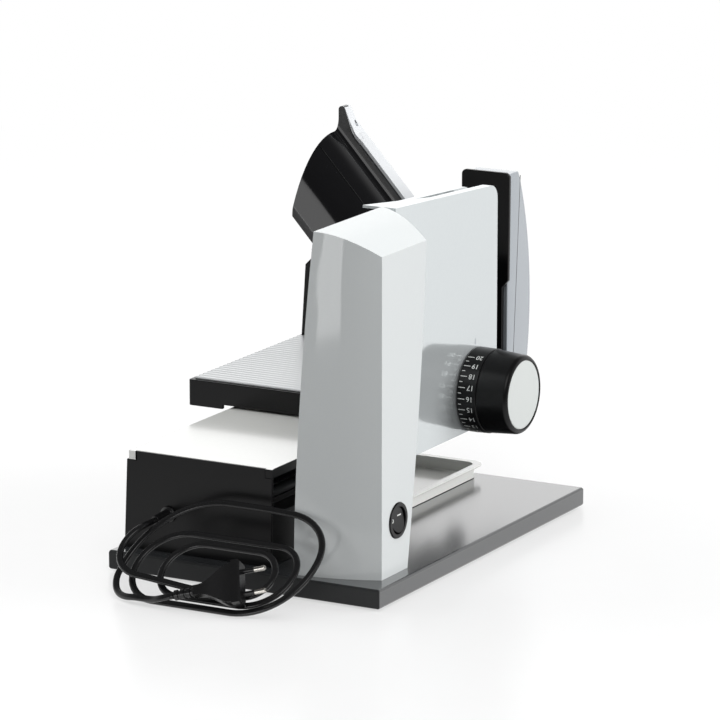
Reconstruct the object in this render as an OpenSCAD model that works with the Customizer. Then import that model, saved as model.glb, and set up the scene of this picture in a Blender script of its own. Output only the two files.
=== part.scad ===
/* [Base] */
// Width of the base board
base_w = 240; // [225:1:280]
// Depth of the base board
base_d = 350; // [340:1:400]
// Thickness of the base board
base_t = 15.5; // [10:0.5:25]
// Chamfer along the edges of the base board
base_chamfer = 1.2; // [0.5:0.1:3]
// Diameter of a rubber foot
foot_d = 22; // [12:1:36]
// Height of a rubber foot below the board
foot_h = 1.5; // [1:0.5:5]
// Distance from the board's edges to a foot's centre
foot_inset = 28; // [22:1:60]
// Depth of the recess that holds a foot
foot_recess = 3; // [1:0.5:6]

/* [Tower] */
// Distance from the base's side to the tower's outer face
tower_inset = 11.5; // [6:0.5:20]
// Distance from the base's rear edge to the tower's outer rear corner
tower_rear = 25; // [20:0.5:30]
// Width of the tower across its foot
tower_foot_w = 67; // [64:0.5:68]
// Width of the tower across its top
tower_top_w = 49; // [46:0.5:52]
// Height of the tower above the base
tower_h = 269.5; // [260:0.5:290]
// Fall of the tower's top towards its outer face
tower_crown = 18; // [8:0.5:24]
// Length of the tower's outer face at the foot
tower_foot_l = 41.5; // [38:0.5:48]
// Length of the tower's outer face at the top
tower_top_l = 71; // [67:0.5:72]
// Extra reach of the rear face towards the blade
tower_rear_flare = 17.5; // [12:0.5:20]
// Extra reach of the front face towards the blade
tower_front_flare = 19; // [15:0.5:20]
// Bulge of the rear face
tower_bulge = 3.6; // [0:0.2:6]
// Wall of the tower casting
tower_wall = 3; // [2:0.25:4]
// Diameter of the switch opening
switch_d = 25; // [22:0.5:30]
// Height of the switch above the base
switch_z = 41.5; // [30:0.5:80]
// Distance from the tower's rear corner to the switch
switch_y = 25.7; // [22:0.1:27]
// Tilt of the switch rocker to each side
switch_tilt = 7; // [4:1:10]

/* [Blade and drive] */
// Diameter of the blade
blade_d = 170; // [160:1:172]
// Thickness of the blade
blade_t = 2; // [1.2:0.1:2]
// Number of waves on the cutting edge
blade_waves = 40; // [20:1:60]
// Depth of a wave
blade_wave_h = 1.6; // [0.5:0.1:3]
// Distance from the base's side to the cutting plane
cut_inset = 79; // [77:0.5:81]
// Distance from the base's rear edge to the blade's axis
blade_rear = 117; // [116:0.5:120]
// Depth that the blade dips below the carriage deck
blade_dip = 10; // [4:0.5:14]
// Diameter of the blade's cover disc
blade_cover_d = 118; // [90:1:130]
// Diameter of the blade's shaft
blade_shaft_d = 12; // [8:0.5:14]
// Module of the drive gears
gear_m = 2; // [1.8:0.1:2.1]
// Teeth on the blade's gear
gear_teeth = 44; // [42:1:45]
// Teeth on the motor's pinion
pinion_teeth = 14; // [12:1:15]
// Width of the gears
gear_w = 7; // [4:0.5:7.5]
// Diameter of the motor
motor_d = 52; // [40:1:54]
// Length of the motor
motor_l = 43; // [30:1:46]
// Diameter of the motor's shaft
motor_shaft_d = 6; // [4:0.5:8]

/* [Thickness gauge] */
// Distance from the cutting plane to the housing's outer face
housing_depth = 29; // [28.5:0.5:34]
// Depth of the housing's rim
housing_rim = 8; // [7.5:0.5:12]
// Wall of the gauge housing
housing_wall = 2.5; // [1.5:0.25:3]
// Reach of the housing in front of the blade's axis
housing_front = 173; // [160:1:190]
// Height of the housing's lower edge above the base
housing_low = 65; // [60:0.5:72]
// Fall of the housing's top edge towards the front
housing_fall = 10; // [4:0.5:16]
// Radius of the housing's front top corner
housing_r = 12; // [6:0.5:20]
// Thickness of the gauge plate
gauge_t = 3; // [2:0.25:3.5]
// Largest slice thickness
gauge_travel = 20; // [12:0.5:20]
// Diameter of the gauge spindle
spindle_d = 14; // [10:0.5:18]
// Wall of the guide sleeve round the spindle
sleeve_wall = 6; // [3:0.5:8]
// Diameter of the knob at its dial
knob_d = 68.5; // [62:0.5:76]
// Diameter of the knob at its outer end
knob_end_d = 64; // [58:0.5:70]
// Length of the knob
knob_l = 44; // [42:0.5:50]
// Length of the dial ring
dial_l = 17; // [12:0.5:22]
// Diameter of the bright cap on the knob
cap_d = 55.5; // [50:0.5:60]
// Distance from the housing's front edge to the knob's axis
knob_back = 37.5; // [30:0.5:42]
// Height of the knob's axis above the housing's lower edge
knob_up = 32.5; // [26:0.5:40]

/* [Bridge] */
// Width of the bridge at the top
bridge_w = 128; // [120:1:135]
// Distance from the cutting plane to the bridge
bridge_gap = 22.5; // [20:0.5:28]
// Height of the bridge above the base
bridge_h = 78; // [76:0.5:84]
// Outward flare of the bridge's foot
bridge_flare = 3; // [0:0.5:6]
// Distance from the base's rear edge to the bridge
bridge_rear = 15; // [12:0.5:18]
// Length of the bridge
bridge_l = 328; // [322:1:332]
// Length of the closed box under the bridge's rear
bridge_box_l = 180; // [150:1:190]
// Wall of the bridge
bridge_wall = 3; // [2:0.25:4]
// Height of the bridge's top plate with its lips
bridge_cap_h = 7; // [5:0.5:9]
// Thickness of the bridge's top plate
bridge_cap_t = 2; // [1.5:0.25:3]
// Diameter of the guide rod
rod_d = 10; // [8:0.5:12]
// Depth of the channel along the bridge's inner side
channel_w = 18.5; // [18:0.5:24]
// Height of the channel
channel_h = 30; // [26:0.5:34]

/* [Carriage] */
// Width of the carriage
carriage_w = 183.5; // [175:0.5:190]
// Length of the carriage's frame
carriage_l = 208; // [206:1:212]
// Height of the carriage's frame
carriage_h = 18; // [14:0.5:22]
// Distance from the cutting plane to the carriage
carriage_gap = 4.5; // [4:0.25:6]
// Length of the ribbed deck
deck_l = 173; // [160:1:174]
// Thickness of the ribbed deck
deck_t = 1.2; // [0.8:0.1:2]
// Number of ribs on the deck
deck_ribs = 27; // [15:1:35]
// Height of a rib
deck_rib_h = 0.6; // [0.3:0.1:1.2]
// Travel of the carriage
carriage_travel = 185; // [150:1:185]
// Height of the carriage's front wall
wall_h = 76; // [70:1:84]
// Thickness of the carriage's front wall
wall_t = 5; // [4:0.5:6]
// Width of the thumb guard
guard_w = 44; // [36:1:50]
// Height of the thumb guard
guard_h = 151; // [140:1:165]
// Thickness of the thumb guard
guard_t = 4; // [3:0.5:5]
// Radius of the handle's curved back
handle_r = 237.6; // [200:1:280]
// Depth of the handle at its fullest
handle_depth = 49; // [42:0.5:60]
// Wall of the handle's shell
handle_wall = 3; // [2:0.25:4]

/* [Food holder] */
// Height of the holder above the carriage's wall
holder_h = 113; // [104:1:122]
// Slope of the holder's hood from the vertical
holder_slope = 42.5; // [38:0.5:46]
// Width of the hood across the carriage
hood_w = 81; // [74:1:88]
// Radius of the hood's crown
hood_r = 88; // [82:1:100]
// Thickness of the hood
hood_t = 3; // [2:0.25:4]
// Width of the bright trim along the hood
trim_w = 15; // [10:0.5:18]
// Travel of the holder along the wall
holder_travel = 36.5; // [30:0.5:40]
// Number of teeth rows on the press plate
press_rows = 5; // [3:1:6]

/* [Tray] */
// Width of the tray
tray_w = 124; // [100:1:124]
// Length of the tray
tray_l = 136; // [110:1:138]
// Height of the tray
tray_h = 11.5; // [8:0.5:18]
// Wall of the tray
tray_wall = 1.6; // [1:0.2:2.5]
// Width of the tray's rim
tray_rim = 5; // [3:0.5:8]
// Travel of the tray
tray_travel = 80; // [60:1:84]

/* [Cord] */
// Width of the flat mains cord
cord_w = 5.4; // [4.8:0.1:5.6]
// Thickness of the flat mains cord
cord_t = 3.6; // [3:0.1:3.8]
// Lean of the cord's loops from the floor up to the bridge
lean = 40; // [38:0.5:41]
// Height of the cord's gland above the base
gland_z = 31; // [28:0.5:33]
// Length of the cord's gland
gland_l = 21; // [20:0.5:22]

/* [Hidden] */
$fn = 96;
// Gap between flat faces of different bodies
play = 0.3;
// Radial gap of a running fit
fit = 0.04;
// Radial gap of a fixed fit
press = 0.01;

// Levels
base_top = foot_h + base_t;
bridge_top_z = base_top + bridge_h;
glide_h = 2;
frame_z = bridge_top_z + glide_h;
deck_z = frame_z + carriage_h;
wall_z = deck_z + wall_h;
tower_top = base_top + tower_h;

// Places across the machine
side_x = base_w / 2;
rear_y = -base_d / 2;
front_y = base_d / 2;
cut_x = side_x - cut_inset;
tower_x1 = side_x - tower_inset;
tower_y = rear_y + tower_rear;

// Switch
switch_axis_y = tower_y + switch_y;
switch_axis_z = base_top + switch_z;
bezel_rim = 1.6;
bezel_lip = 1.2;
bezel_l = 14;
rocker_r = switch_d / 2 - bezel_rim - 0.8;
rocker_x = tower_x1 - 2;
pivot_r = 1.5;

// Blade and drive
blade_y = rear_y + blade_rear;
blade_z = deck_z + blade_d / 2 - blade_dip;
blade_x1 = cut_x - 0.2;
blade_x0 = blade_x1 - blade_t;
cover_t = 1.5;
cover_x = blade_x0 - cover_t - 0.1;
gear_x = cut_x + 3.5;
gear_r = gear_m * gear_teeth / 2;
pinion_r = gear_m * pinion_teeth / 2;
pinion_y = blade_y - gear_r - pinion_r;
dish_r = 78;
dish_wall = 3;
dish_x0 = cut_x + 2.5;
dish_x1 = cut_x + 15;
bearing_l = 11;
bearing_r = 12;
bush_r = blade_shaft_d / 2 + 2;
hub_r = 18;
boss_r = 6;
boss_ring = 60;

// Thickness gauge
housing_x1 = cut_x + housing_depth;
housing_x0 = housing_x1 - housing_rim;
housing_y0 = blade_y + 1;
housing_y1 = blade_y + housing_front;
housing_z0 = base_top + housing_low;
housing_z1 = tower_top - 1;
gauge_edge = housing_wall + 0.8;
gauge_cut_r = blade_d / 2 + 2.5;
knob_y = housing_y1 - knob_back;
knob_z = housing_z0 + knob_up;
sleeve_r = spindle_d / 2 + sleeve_wall;
sleeve_l = 28;
knob_x0 = housing_x1 + 0.6;
knob_x1 = housing_x1 + knob_l;
cap_t = 3;
spindle_x1 = knob_x1 - cap_t - gauge_travel - 0.6;
key_w = 4;
key_h = 2;
dial_seat = 5;

// Bridge
bridge_x1 = cut_x - bridge_gap;
bridge_x0 = bridge_x1 - bridge_w;
bridge_y0 = rear_y + bridge_rear;
bridge_y1 = bridge_y0 + bridge_l;
panel_t = 2.5;
gland_y = bridge_y0 - gland_l;
notch_w = 7;
cap_z = bridge_top_z - bridge_cap_h;
guide_x = bridge_x1 - channel_w / 2;
guide_z = cap_z - channel_h / 2;
hanger_t = 5;

// Carriage
carriage_x1 = cut_x - carriage_gap;
carriage_x0 = carriage_x1 - carriage_w;
carriage_y0 = bridge_y1 - deck_l - 1;
carriage_y1 = carriage_y0 + carriage_l;
frame_wall = 3.5;
frame_skirt = 3.5;
deck_edge = 4;
wall_y0 = carriage_y0 + deck_edge + deck_l + 1;
wall_y1 = wall_y0 + wall_t;
guard_x1 = cut_x - 3;
guard_x0 = guard_x1 - guard_w;
guard_y0 = carriage_y1 - guard_t;
rib_w = 12;
glide_x = [bridge_x0 + 10, bridge_x1 - 32];
shoe_l = 56;
shoe_y = carriage_y0 + 70;
handle_y1 = carriage_y1 + handle_depth;

// Food holder
saddle_h = 12;
saddle_top = 4;
saddle_wall = 3;
saddle_z1 = wall_z + saddle_top;
holder_y = wall_y0;
holder_z = wall_z + holder_h;
hood_x1 = carriage_x1 - holder_travel - 5.5;
hood_x0 = hood_x1 - (holder_h - saddle_top) * tan(holder_slope);
hood_low = deck_z + deck_t + deck_rib_h + 1;
hood_top = 6.5;
hood_reach = 10;
hood_fillet = 8;
hood_skirt = 1;
tab_w = 13;
tab_h = 10.5;
tab_r = 3;
saddle_x0 = hood_x0 - 25;
trim_t = 3;
press_t = 3;
press_y1 = holder_y - saddle_wall - 2 * play;

// Tray
tray_x1 = bridge_x1 + 15;
tray_y1 = front_y - 6;

// Whole machine, without the cord
box_x0 = carriage_x0;
box_x1 = max(side_x, knob_x1);
mid_x = (box_x0 + box_x1) / 2;
mid_y = (min(rear_y, gland_y) + handle_y1) / 2;

// Cord loops, on a plane that leans from the floor up to the bridge
lean_y = -240;
lean_z = 1;
layer = cord_t + 1.2;
ease_from = 0.2;
arc_rings = 9;
bend_rings = 4;
gland_x = -74;
gland_r = 4.6;
gland_tip_r = 3.4;
gland_flange = 2;
plug_tail = [-18, 3, 11.5];
plug_turn = [14, -2, 20];
plug_w = 35;
plug_h = 14;
plug_collar = 7;
plug_neck_r = 4;
plug_neck_l = 20;
plug_l = 55;
pin_gap = 18.6;
pin_d = 4;
pin_l = 19;
pin_sleeve_l = 10;

black = "#1c1d1f";
white = "#e4e8e9";
silver = "#b9bec2";
steel = "#c9cccf";

// Puts the machine's middle over the origin
module place() {
    translate([-mid_x, -mid_y, 0])
        children();
}

// Extrudes a (y, z) outline along x
module along_x(x0, x1) {
    translate([x0, 0, 0])
        rotate([90, 0, 90])
            linear_extrude(x1 - x0)
                children();
}

// Extrudes an (x, z) outline along y
module along_y(y0, y1) {
    translate([0, y1, 0])
        rotate([90, 0, 0])
            linear_extrude(y1 - y0)
                children();
}

// A rod along x through (y, z)
module rod_x(x0, x1, y, z, r) {
    translate([x0, y, z])
        rotate([0, 90, 0])
            cylinder(h = x1 - x0, r = r);
}

// A rod along y through (x, z)
module rod_y(y0, y1, x, z, r) {
    translate([x, y0, z])
        rotate([-90, 0, 0])
            cylinder(h = y1 - y0, r = r);
}

// Turns a (radius, length) outline about an axis along x
module turn_x(x, y, z) {
    translate([x, y, z])
        rotate([0, 90, 0])
            rotate_extrude()
                children();
}

// A rectangle with round corners between two corner points
module round_rect(x0, y0, x1, y1, r) {
    translate([x0 + r, y0])
        square([x1 - x0 - 2 * r, y1 - y0]);
    translate([x0, y0 + r])
        square([x1 - x0, y1 - y0 - 2 * r]);
    for (x = [x0 + r, x1 - r], y = [y0 + r, y1 - r])
        translate([x, y])
            circle(r);
}

module block(x0, y0, z0, x1, y1, z1) {
    translate([x0, y0, z0])
        cube([x1 - x0, y1 - y0, z1 - z0]);
}

// Points on an arc about c, from angle a0 to a1
function arc(c, r, a0, a1, n = 8) =
    [for (i = [0 : n]) c + r * [cos(a0 + (a1 - a0) * i / n), sin(a0 + (a1 - a0) * i / n)]];

// Skins rings of points whose first half mirrors the second half
module loft(rings) {
    n = len(rings[0]);
    last = (len(rings) - 1) * n;
    sides = [for (k = [0 : len(rings) - 2], i = [0 : n - 1])
        let (a = k * n + i, b = k * n + (i + 1) % n)
        each [[a, a + n, b + n], [a, b + n, b]]];
    caps = [for (i = [0 : n / 2 - 2])
        let (j = n - 1 - i)
        each [[last + i, last + j, last + j - 1], [last + i, last + j - 1, last + i + 1],
            [i, j - 1, j], [i, i + 1, j - 1]]];
    polyhedron([for (r = rings) each r], concat(sides, caps));
}

// Base

// Section of the base board across a width of two times half
function board_outline(half) =
    let (c = base_chamfer)
    [[-half, foot_h + c], [c - half, foot_h], [half - c, foot_h], [half, foot_h + c],
        [half, base_top - c], [half - c, base_top], [c - half, base_top], [-half, base_top - c]];

module base_board() {
    color("#3a3d40")
    place()
    difference() {
        intersection() {
            along_y(rear_y, front_y)
                polygon(board_outline(side_x));
            along_x(-side_x, side_x)
                polygon(board_outline(front_y));
        }
        at_feet()
            translate([0, 0, foot_h - 1])
                cylinder(h = foot_recess + 1, d = foot_d + 2 * play);
    }
}

module at_feet() {
    for (x = [foot_inset - side_x, side_x - foot_inset], y = [rear_y + foot_inset, front_y - foot_inset])
        translate([x, y, 0])
            children();
}

module rubber_feet() {
    color(black)
    place()
    at_feet()
        cylinder(h = foot_h + foot_recess, d = foot_d);
}

// Tower and switch

// One ring of the tower at height share t, drawn in by a wall w
function tower_ring(t, w) =
    let (
        n = 6,
        x0 = tower_x1 - tower_foot_w + (tower_foot_w - tower_top_w) * pow(t, 1.7) + w,
        x1 = tower_x1 - w,
        y0 = tower_y + w,
        y1 = tower_y + tower_foot_l + (tower_top_l - tower_foot_l) * (1 - pow(1 - t, 1.6)) - w,
        rear = [for (i = [0 : n]) let (s = i / n)
            [x0 + (x1 - x0) * s, y0 - tower_rear_flare * (1 - s) - tower_bulge * 4 * s * (1 - s), s]],
        front = [for (i = [n : -1 : 0]) let (s = i / n)
            [x0 + (x1 - x0) * s, y1 + tower_front_flare * (1 - s), s]]
    )
    [for (p = concat(rear, front)) [p.x, p.y, tower_level(t, p[2], w)]];

// Height of a ring's point: the top ring is crowned, and an inner loft runs out below
function tower_level(t, s, w) =
    t == 1 ? tower_top - tower_crown * s * s - w
    : t == 0 && w > 0 ? base_top - 1
    : base_top + t * tower_h;

module tower_shell() {
    heights = [0, 0.15, 0.3, 0.45, 0.6, 0.75, 0.88, 1];
    color("#ccd1d2")
    place()
    difference() {
        loft([for (t = heights) tower_ring(t, 0)]);
        loft([for (t = heights) tower_ring(t, tower_wall)]);
        rod_x(cut_x - 20, dish_x1 + play, blade_y, blade_z, dish_r + play);
        rod_x(cut_x, dish_x1 + bearing_l + play, blade_y, blade_z, bearing_r + play);
        rod_x(tower_x1 - 2 * tower_wall, tower_x1 + 1, switch_axis_y, switch_axis_z, switch_d / 2 + play);
    }
}

// Cup with a bore on each side for the rocker's pivot
module switch_bezel() {
    r = switch_d / 2;
    inner = r - bezel_rim;
    color(black)
    place()
    difference() {
        turn_x(tower_x1, switch_axis_y, switch_axis_z)
            polygon([[inner, bezel_lip], [r + bezel_lip, bezel_lip], [r + bezel_lip + 0.6, 0], [r, 0],
                [r, -bezel_l], [0, -bezel_l], [0, 2 - bezel_l], [inner, 2 - bezel_l]]);
        rod_y(switch_axis_y - r - 1, switch_axis_y + r + 1, rocker_x, switch_axis_z, pivot_r + fit);
    }
}

// Domed button with a hollowed face, on a pivot pin
module switch_rocker() {
    dome = rocker_r * 4;
    rise = 2.6;
    pin = switch_d / 2 - 0.3;
    color(black)
    place()
    translate([rocker_x, switch_axis_y, switch_axis_z])
        rotate([0, -switch_tilt, 0]) {
            difference() {
                intersection() {
                    sphere(r = rocker_r);
                    rotate([0, 90, 0])
                        translate([0, 0, -4])
                            cylinder(h = 4 + rise + 2, r = rocker_r);
                }
                translate([dome + rise - 0.6, 0, 0])
                    rotate([90, 0, 0])
                        cylinder(h = 4 * rocker_r, r = dome, center = true);
            }
            rotate([90, 0, 0])
                cylinder(h = 2 * pin, r = pivot_r, center = true);
        }
}

// Blade, its housing and drive

module blade_housing() {
    x1 = dish_x1 + bearing_l;
    inner = dish_x1 - dish_wall;
    color("#d5d9da")
    place()
    difference() {
        union() {
            turn_x(0, blade_y, blade_z)
                polygon([[bearing_r, x1], [0, x1], [0, inner], [dish_r - dish_wall, inner],
                    [dish_r - dish_wall, dish_x0], [dish_r, dish_x0], [dish_r, dish_x1],
                    [bearing_r, dish_x1]]);
            for (a = [-40, 0, 40])
                translate([0, boss_ring * cos(a), boss_ring * sin(a)])
                    rod_x(dish_x1, housing_x1 - housing_wall, blade_y, blade_z, boss_r);
        }
        rod_x(inner - 1, x1 + 1, blade_y, blade_z, bush_r + press);
        rod_x(inner - 1, dish_x1 + 1, pinion_y, blade_z, motor_shaft_d / 2 + 2);
    }
}

module bearing_bush() {
    r = blade_shaft_d / 2 + fit;
    l = dish_wall + bearing_l;
    color("#b08a4a")
    place()
    turn_x(dish_x1 - dish_wall, blade_y, blade_z)
        polygon([[r, 0], [bush_r, 0], [bush_r, l], [r, l]]);
}

module motor() {
    color("#8d9296")
    place()
    difference() {
        union() {
            rod_x(dish_x1, dish_x1 + motor_l, pinion_y, blade_z, motor_d / 2);
            rod_x(dish_x1 + motor_l, dish_x1 + motor_l + 3, pinion_y, blade_z, motor_d / 4);
        }
        rod_x(dish_x1 - 1, dish_x1 + motor_l - 6, pinion_y, blade_z, motor_shaft_d / 2 + fit);
    }
}

// Flat outline of a spur gear whose flanks narrow towards the tip
module gear_outline(teeth, turn) {
    r = gear_m * teeth / 2;
    root = r - 1.35 * gear_m;
    tip = r + 0.85 * gear_m;
    pitch = 360 / teeth;
    polygon([for (i = [0 : teeth - 1]) each [
        for (p = [[root, -0.37], [r, -0.225], [tip, -0.1], [tip, 0.1], [r, 0.225], [root, 0.37]])
            let (a = turn + pitch * (i + p[1])) p[0] * [cos(a), sin(a)]]]);
}

module drive_gear() {
    color("#e8e4d8")
    place()
    translate([0, blade_y, blade_z])
        along_x(gear_x, gear_x + gear_w)
            difference() {
                gear_outline(gear_teeth, 0);
                circle(r = blade_shaft_d / 2 + press);
                for (a = [0 : 60 : 359])
                    rotate(a)
                        translate([gear_r * 0.62, 0])
                            circle(r = gear_r * 0.2);
            }
}

module motor_pinion() {
    color("#a9adb0")
    place() {
        translate([0, pinion_y, blade_z])
            along_x(gear_x, gear_x + gear_w)
                gear_outline(pinion_teeth, gear_teeth % 2 == 0 ? 180 / pinion_teeth : 0);
        rod_x(gear_x + gear_w, dish_x1 + motor_l - 8, pinion_y, blade_z, motor_shaft_d / 2);
    }
}

module blade_shaft() {
    color(steel)
    place()
    turn_x(0, blade_y, blade_z)
        polygon([[0, blade_x1], [hub_r, blade_x1], [hub_r, gear_x], [blade_shaft_d / 2, gear_x],
            [blade_shaft_d / 2, dish_x1 + bearing_l - 1], [0, dish_x1 + bearing_l - 1]]);
}

// Disc ground to a bevel, with a waved cutting edge
module blade() {
    r = blade_d / 2;
    color(steel)
    place()
    difference() {
        turn_x(0, blade_y, blade_z)
            polygon([[0, blade_x0], [r - 14, blade_x0], [r, blade_x1 - 0.4], [r, blade_x1], [0, blade_x1]]);
        translate([0, blade_y, blade_z])
            for (i = [0 : blade_waves - 1])
                rotate([i * 360 / blade_waves, 0, 0])
                    rod_x(blade_x0 - 1, blade_x1 + 1, r + 3 * blade_wave_h, 0, 4 * blade_wave_h);
    }
}

module blade_cover() {
    r = blade_cover_d / 2;
    color("#d5d9da")
    place()
    difference() {
        turn_x(0, blade_y, blade_z)
            polygon([[0, cover_x], [r - 3, cover_x], [r, cover_x + cover_t - 0.4], [r, cover_x + cover_t],
                [0, cover_x + cover_t]]);
        for (a = [45, 225])
            rod_x(cover_x - 1, cover_x + 0.9, blade_y + r * 0.3 * cos(a), blade_z + r * 0.3 * sin(a), 5);
    }
}

// Thickness gauge

// Outline of the housing in (y, z), drawn in by e
function housing_outline(e) =
    let (
        y1 = housing_y1 - e,
        z0 = housing_z0 + e,
        fall = atan(housing_fall / (housing_y1 - housing_y0)),
        top = housing_z1 - housing_fall - e,
        r = housing_r - min(e, housing_r / 2)
    )
    concat(
        [[housing_y0, z0]],
        arc([y1 - r / 2, z0 + r / 2], r / 2, -90, 0, 6),
        arc([y1 - r, top - r], r, 0, 90 - fall, 8),
        [[housing_y0, top + housing_fall]]);

module gauge_housing() {
    shield_t = 2.2;
    shield_l = 75;
    shield_x1 = housing_x0 + 1;
    color(white)
    place()
    difference() {
        union() {
            difference() {
                along_x(housing_x0, housing_x1)
                    polygon(housing_outline(0));
                translate([0, -2 * housing_wall, 0])
                    along_x(housing_x0 - 1, housing_x1 - housing_wall)
                        polygon(housing_outline(housing_wall));
                along_x(housing_x0 - 1, housing_x1 - housing_wall)
                    polygon(housing_outline(housing_wall));
            }
            intersection() {
                along_x(cut_x, housing_x1)
                    difference() {
                        polygon(housing_outline(0));
                        translate([0, -shield_t])
                            polygon([[housing_y0 - 1, 0], [housing_y1 + 1, 0],
                                [housing_y1 + 1, housing_z1 - housing_fall],
                                [housing_y0, housing_z1], [housing_y0 - 1, housing_z1]]);
                    }
                linear_extrude(2 * tower_top)
                    polygon([[cut_x, housing_y0], [shield_x1, housing_y0],
                        [shield_x1, housing_y0 + shield_l]]);
            }
        }
        rod_x(housing_x0, housing_x1 + 1, knob_y, knob_z, sleeve_r + press);
    }
}

module guide_sleeve() {
    flange = 4;
    flange_t = 1.2;
    x1 = housing_x1 + sleeve_l;
    color("#9a9ea1")
    place()
    difference() {
        union() {
            rod_x(housing_x1 - housing_wall, x1, knob_y, knob_z, sleeve_r);
            rod_x(housing_x1, housing_x1 + flange_t, knob_y, knob_z, sleeve_r + flange);
        }
        rod_x(housing_x0, x1 + 1, knob_y, knob_z, spindle_d / 2 + fit);
        block(housing_x0, knob_y - key_w / 2 - fit, knob_z, x1 + 1, knob_y + key_w / 2 + fit,
            knob_z + spindle_d / 2 + key_h + fit);
    }
}

module gauge_plate() {
    rib = 2.5;
    color("#dadedf")
    place()
    difference() {
        along_x(cut_x, cut_x + gauge_t + rib)
            polygon(housing_outline(gauge_edge));
        along_x(cut_x + gauge_t, cut_x + gauge_t + rib + 1)
            polygon(housing_outline(gauge_edge + 2 * rib));
        rod_x(cut_x - 1, cut_x + gauge_t + rib + 1, blade_y, blade_z, gauge_cut_r);
        block(cut_x - 1, housing_y0 - 1, blade_z, cut_x + gauge_t + rib + 1, blade_y + 40, tower_top);
    }
}

module gauge_spindle() {
    flange_r = spindle_d / 2 + 6;
    flange_t = 2.4;
    x0 = cut_x + gauge_t;
    color(steel)
    place() {
        rod_x(x0, x0 + flange_t, knob_y, knob_z, flange_r);
        rod_x(x0 + flange_t, spindle_x1, knob_y, knob_z, spindle_d / 2);
        block(x0 + flange_t, knob_y - key_w / 2, knob_z, spindle_x1, knob_y + key_w / 2,
            knob_z + spindle_d / 2 + key_h);
    }
}

module dial_ring() {
    r = knob_d / 2;
    inner = r - dial_seat + press;
    color(black)
    place()
    turn_x(knob_x0, knob_y, knob_z)
        polygon([[inner, 0], [r - 0.8, 0], [r, 0.8], [r - 0.3, dial_l - 0.5], [r - 0.8, dial_l],
            [inner, dial_l]]);
}

// Hollow knob that turns on the guide sleeve
module thickness_knob() {
    r0 = knob_d / 2;
    r1 = knob_end_d / 2;
    wall = 4;
    round_r = (knob_end_d - cap_d) / 2;
    color(black)
    place()
    turn_x(0, knob_y, knob_z)
        polygon(concat(
            [[sleeve_r + fit, knob_x0 + 1], [r0 - dial_seat, knob_x0 + 1],
                [r0 - dial_seat, knob_x0 + dial_l], [r0 - 1.2, knob_x0 + dial_l],
                [r0 - 0.8, knob_x0 + dial_l + 0.6]],
            arc([r1 - round_r, knob_x1 - round_r], round_r, 0, 80, 8),
            [[cap_d / 2, knob_x1 - 0.4], [cap_d / 2, knob_x1 - cap_t], [r1 - wall - 3, knob_x1 - cap_t],
                [r1 - wall - 3, housing_x1 + sleeve_l + 1], [sleeve_r + fit, housing_x1 + sleeve_l + 1]]));
}

module knob_cap() {
    r = cap_d / 2 - 0.1;
    color(white)
    place()
    turn_x(knob_x1, knob_y, knob_z)
        polygon([[0, 0], [r - 1.2, -0.5], [r, -0.9], [r, -cap_t], [0, -cap_t]]);
}

// Bridge under the carriage

// Section of the closed box in (x, z), drawn in by e and open below for a wall
function bridge_section(e) =
    let (
        foot_x = bridge_x0 - bridge_flare + e,
        z0 = base_top - (e > 0 ? 1 : 0),
        z1 = cap_z - channel_h - e,
        x1 = bridge_x1 - 2 - e,
        deep = bridge_x1 - channel_w - e
    )
    [[foot_x, z0], [x1, z0], [x1, z1], [deep, z1], [deep, cap_z - e], [bridge_x0 + e, cap_z - e]];

module bridge_body() {
    w = bridge_wall;
    y0 = bridge_y0 + panel_t;
    y1 = bridge_y0 + bridge_box_l;
    color(black)
    place()
    difference() {
        along_y(y0, y1)
            polygon(bridge_section(0));
        along_y(y0 - 1, y1 - w)
            polygon(bridge_section(w));
    }
}

// Side wall that carries the front of the bridge
module bridge_leg() {
    w = 2 * bridge_wall;
    x0 = bridge_x0 - bridge_flare;
    color(black)
    place()
    along_y(bridge_y0 + bridge_box_l, bridge_y1)
        polygon([[x0, base_top], [x0 + w, base_top], [bridge_x0 + w, cap_z], [bridge_x0, cap_z]]);
}

// End plate of the box, with its top corners notched for the cap's lips
module bridge_rear_panel() {
    x0 = bridge_x0 + notch_w;
    x1 = bridge_x1 - notch_w + 1;
    color(black)
    place()
    difference() {
        along_y(bridge_y0, bridge_y0 + panel_t)
            polygon([[bridge_x0 - bridge_flare - 2, base_top], [bridge_x1 - 1.5, base_top],
                [bridge_x1, cap_z], [x1, cap_z], [x1, bridge_top_z], [x0, bridge_top_z], [x0, cap_z],
                [bridge_x0 - 2, cap_z]]);
        rod_y(bridge_y0 - 1, bridge_y0 + panel_t + 1, gland_x, base_top + gland_z, gland_r + press);
    }
}

module bridge_top() {
    t = bridge_cap_t;
    c = 0.6;
    z = bridge_top_z;
    x0 = bridge_x0;
    x1 = bridge_x1;
    color(white)
    place() {
        along_y(bridge_y0 + panel_t + 0.1, bridge_y1)
            polygon([[x0, cap_z], [x0 + t, cap_z], [x0 + t, z - t], [x1 - t, z - t], [x1 - t, cap_z],
                [x1, cap_z], [x1, z - c], [x1 - c, z], [x0 + c, z], [x0, z - c]]);
        for (x = [x0, x1 - notch_w + 1.1])
            block(x, bridge_y0, cap_z + 0.1, x + notch_w - 1.1, bridge_y0 + panel_t + 0.1, z);
    }
}

module guide_rod() {
    color(steel)
    place()
    rod_y(bridge_y0 + panel_t, bridge_y1 - 2, guide_x, guide_z, rod_d / 2);
}

module rod_hanger() {
    color("#9a9ea1")
    place()
    along_y(bridge_y1 - 2 - hanger_t, bridge_y1 - 2)
        difference() {
            union() {
                translate([guide_x, guide_z])
                    circle(r = rod_d / 2 + 4);
                translate([guide_x - rod_d / 2, guide_z])
                    square([rod_d, bridge_top_z - bridge_cap_t - guide_z]);
            }
            translate([guide_x, guide_z])
                circle(r = rod_d / 2 + press);
        }
}

// Carriage

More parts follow.
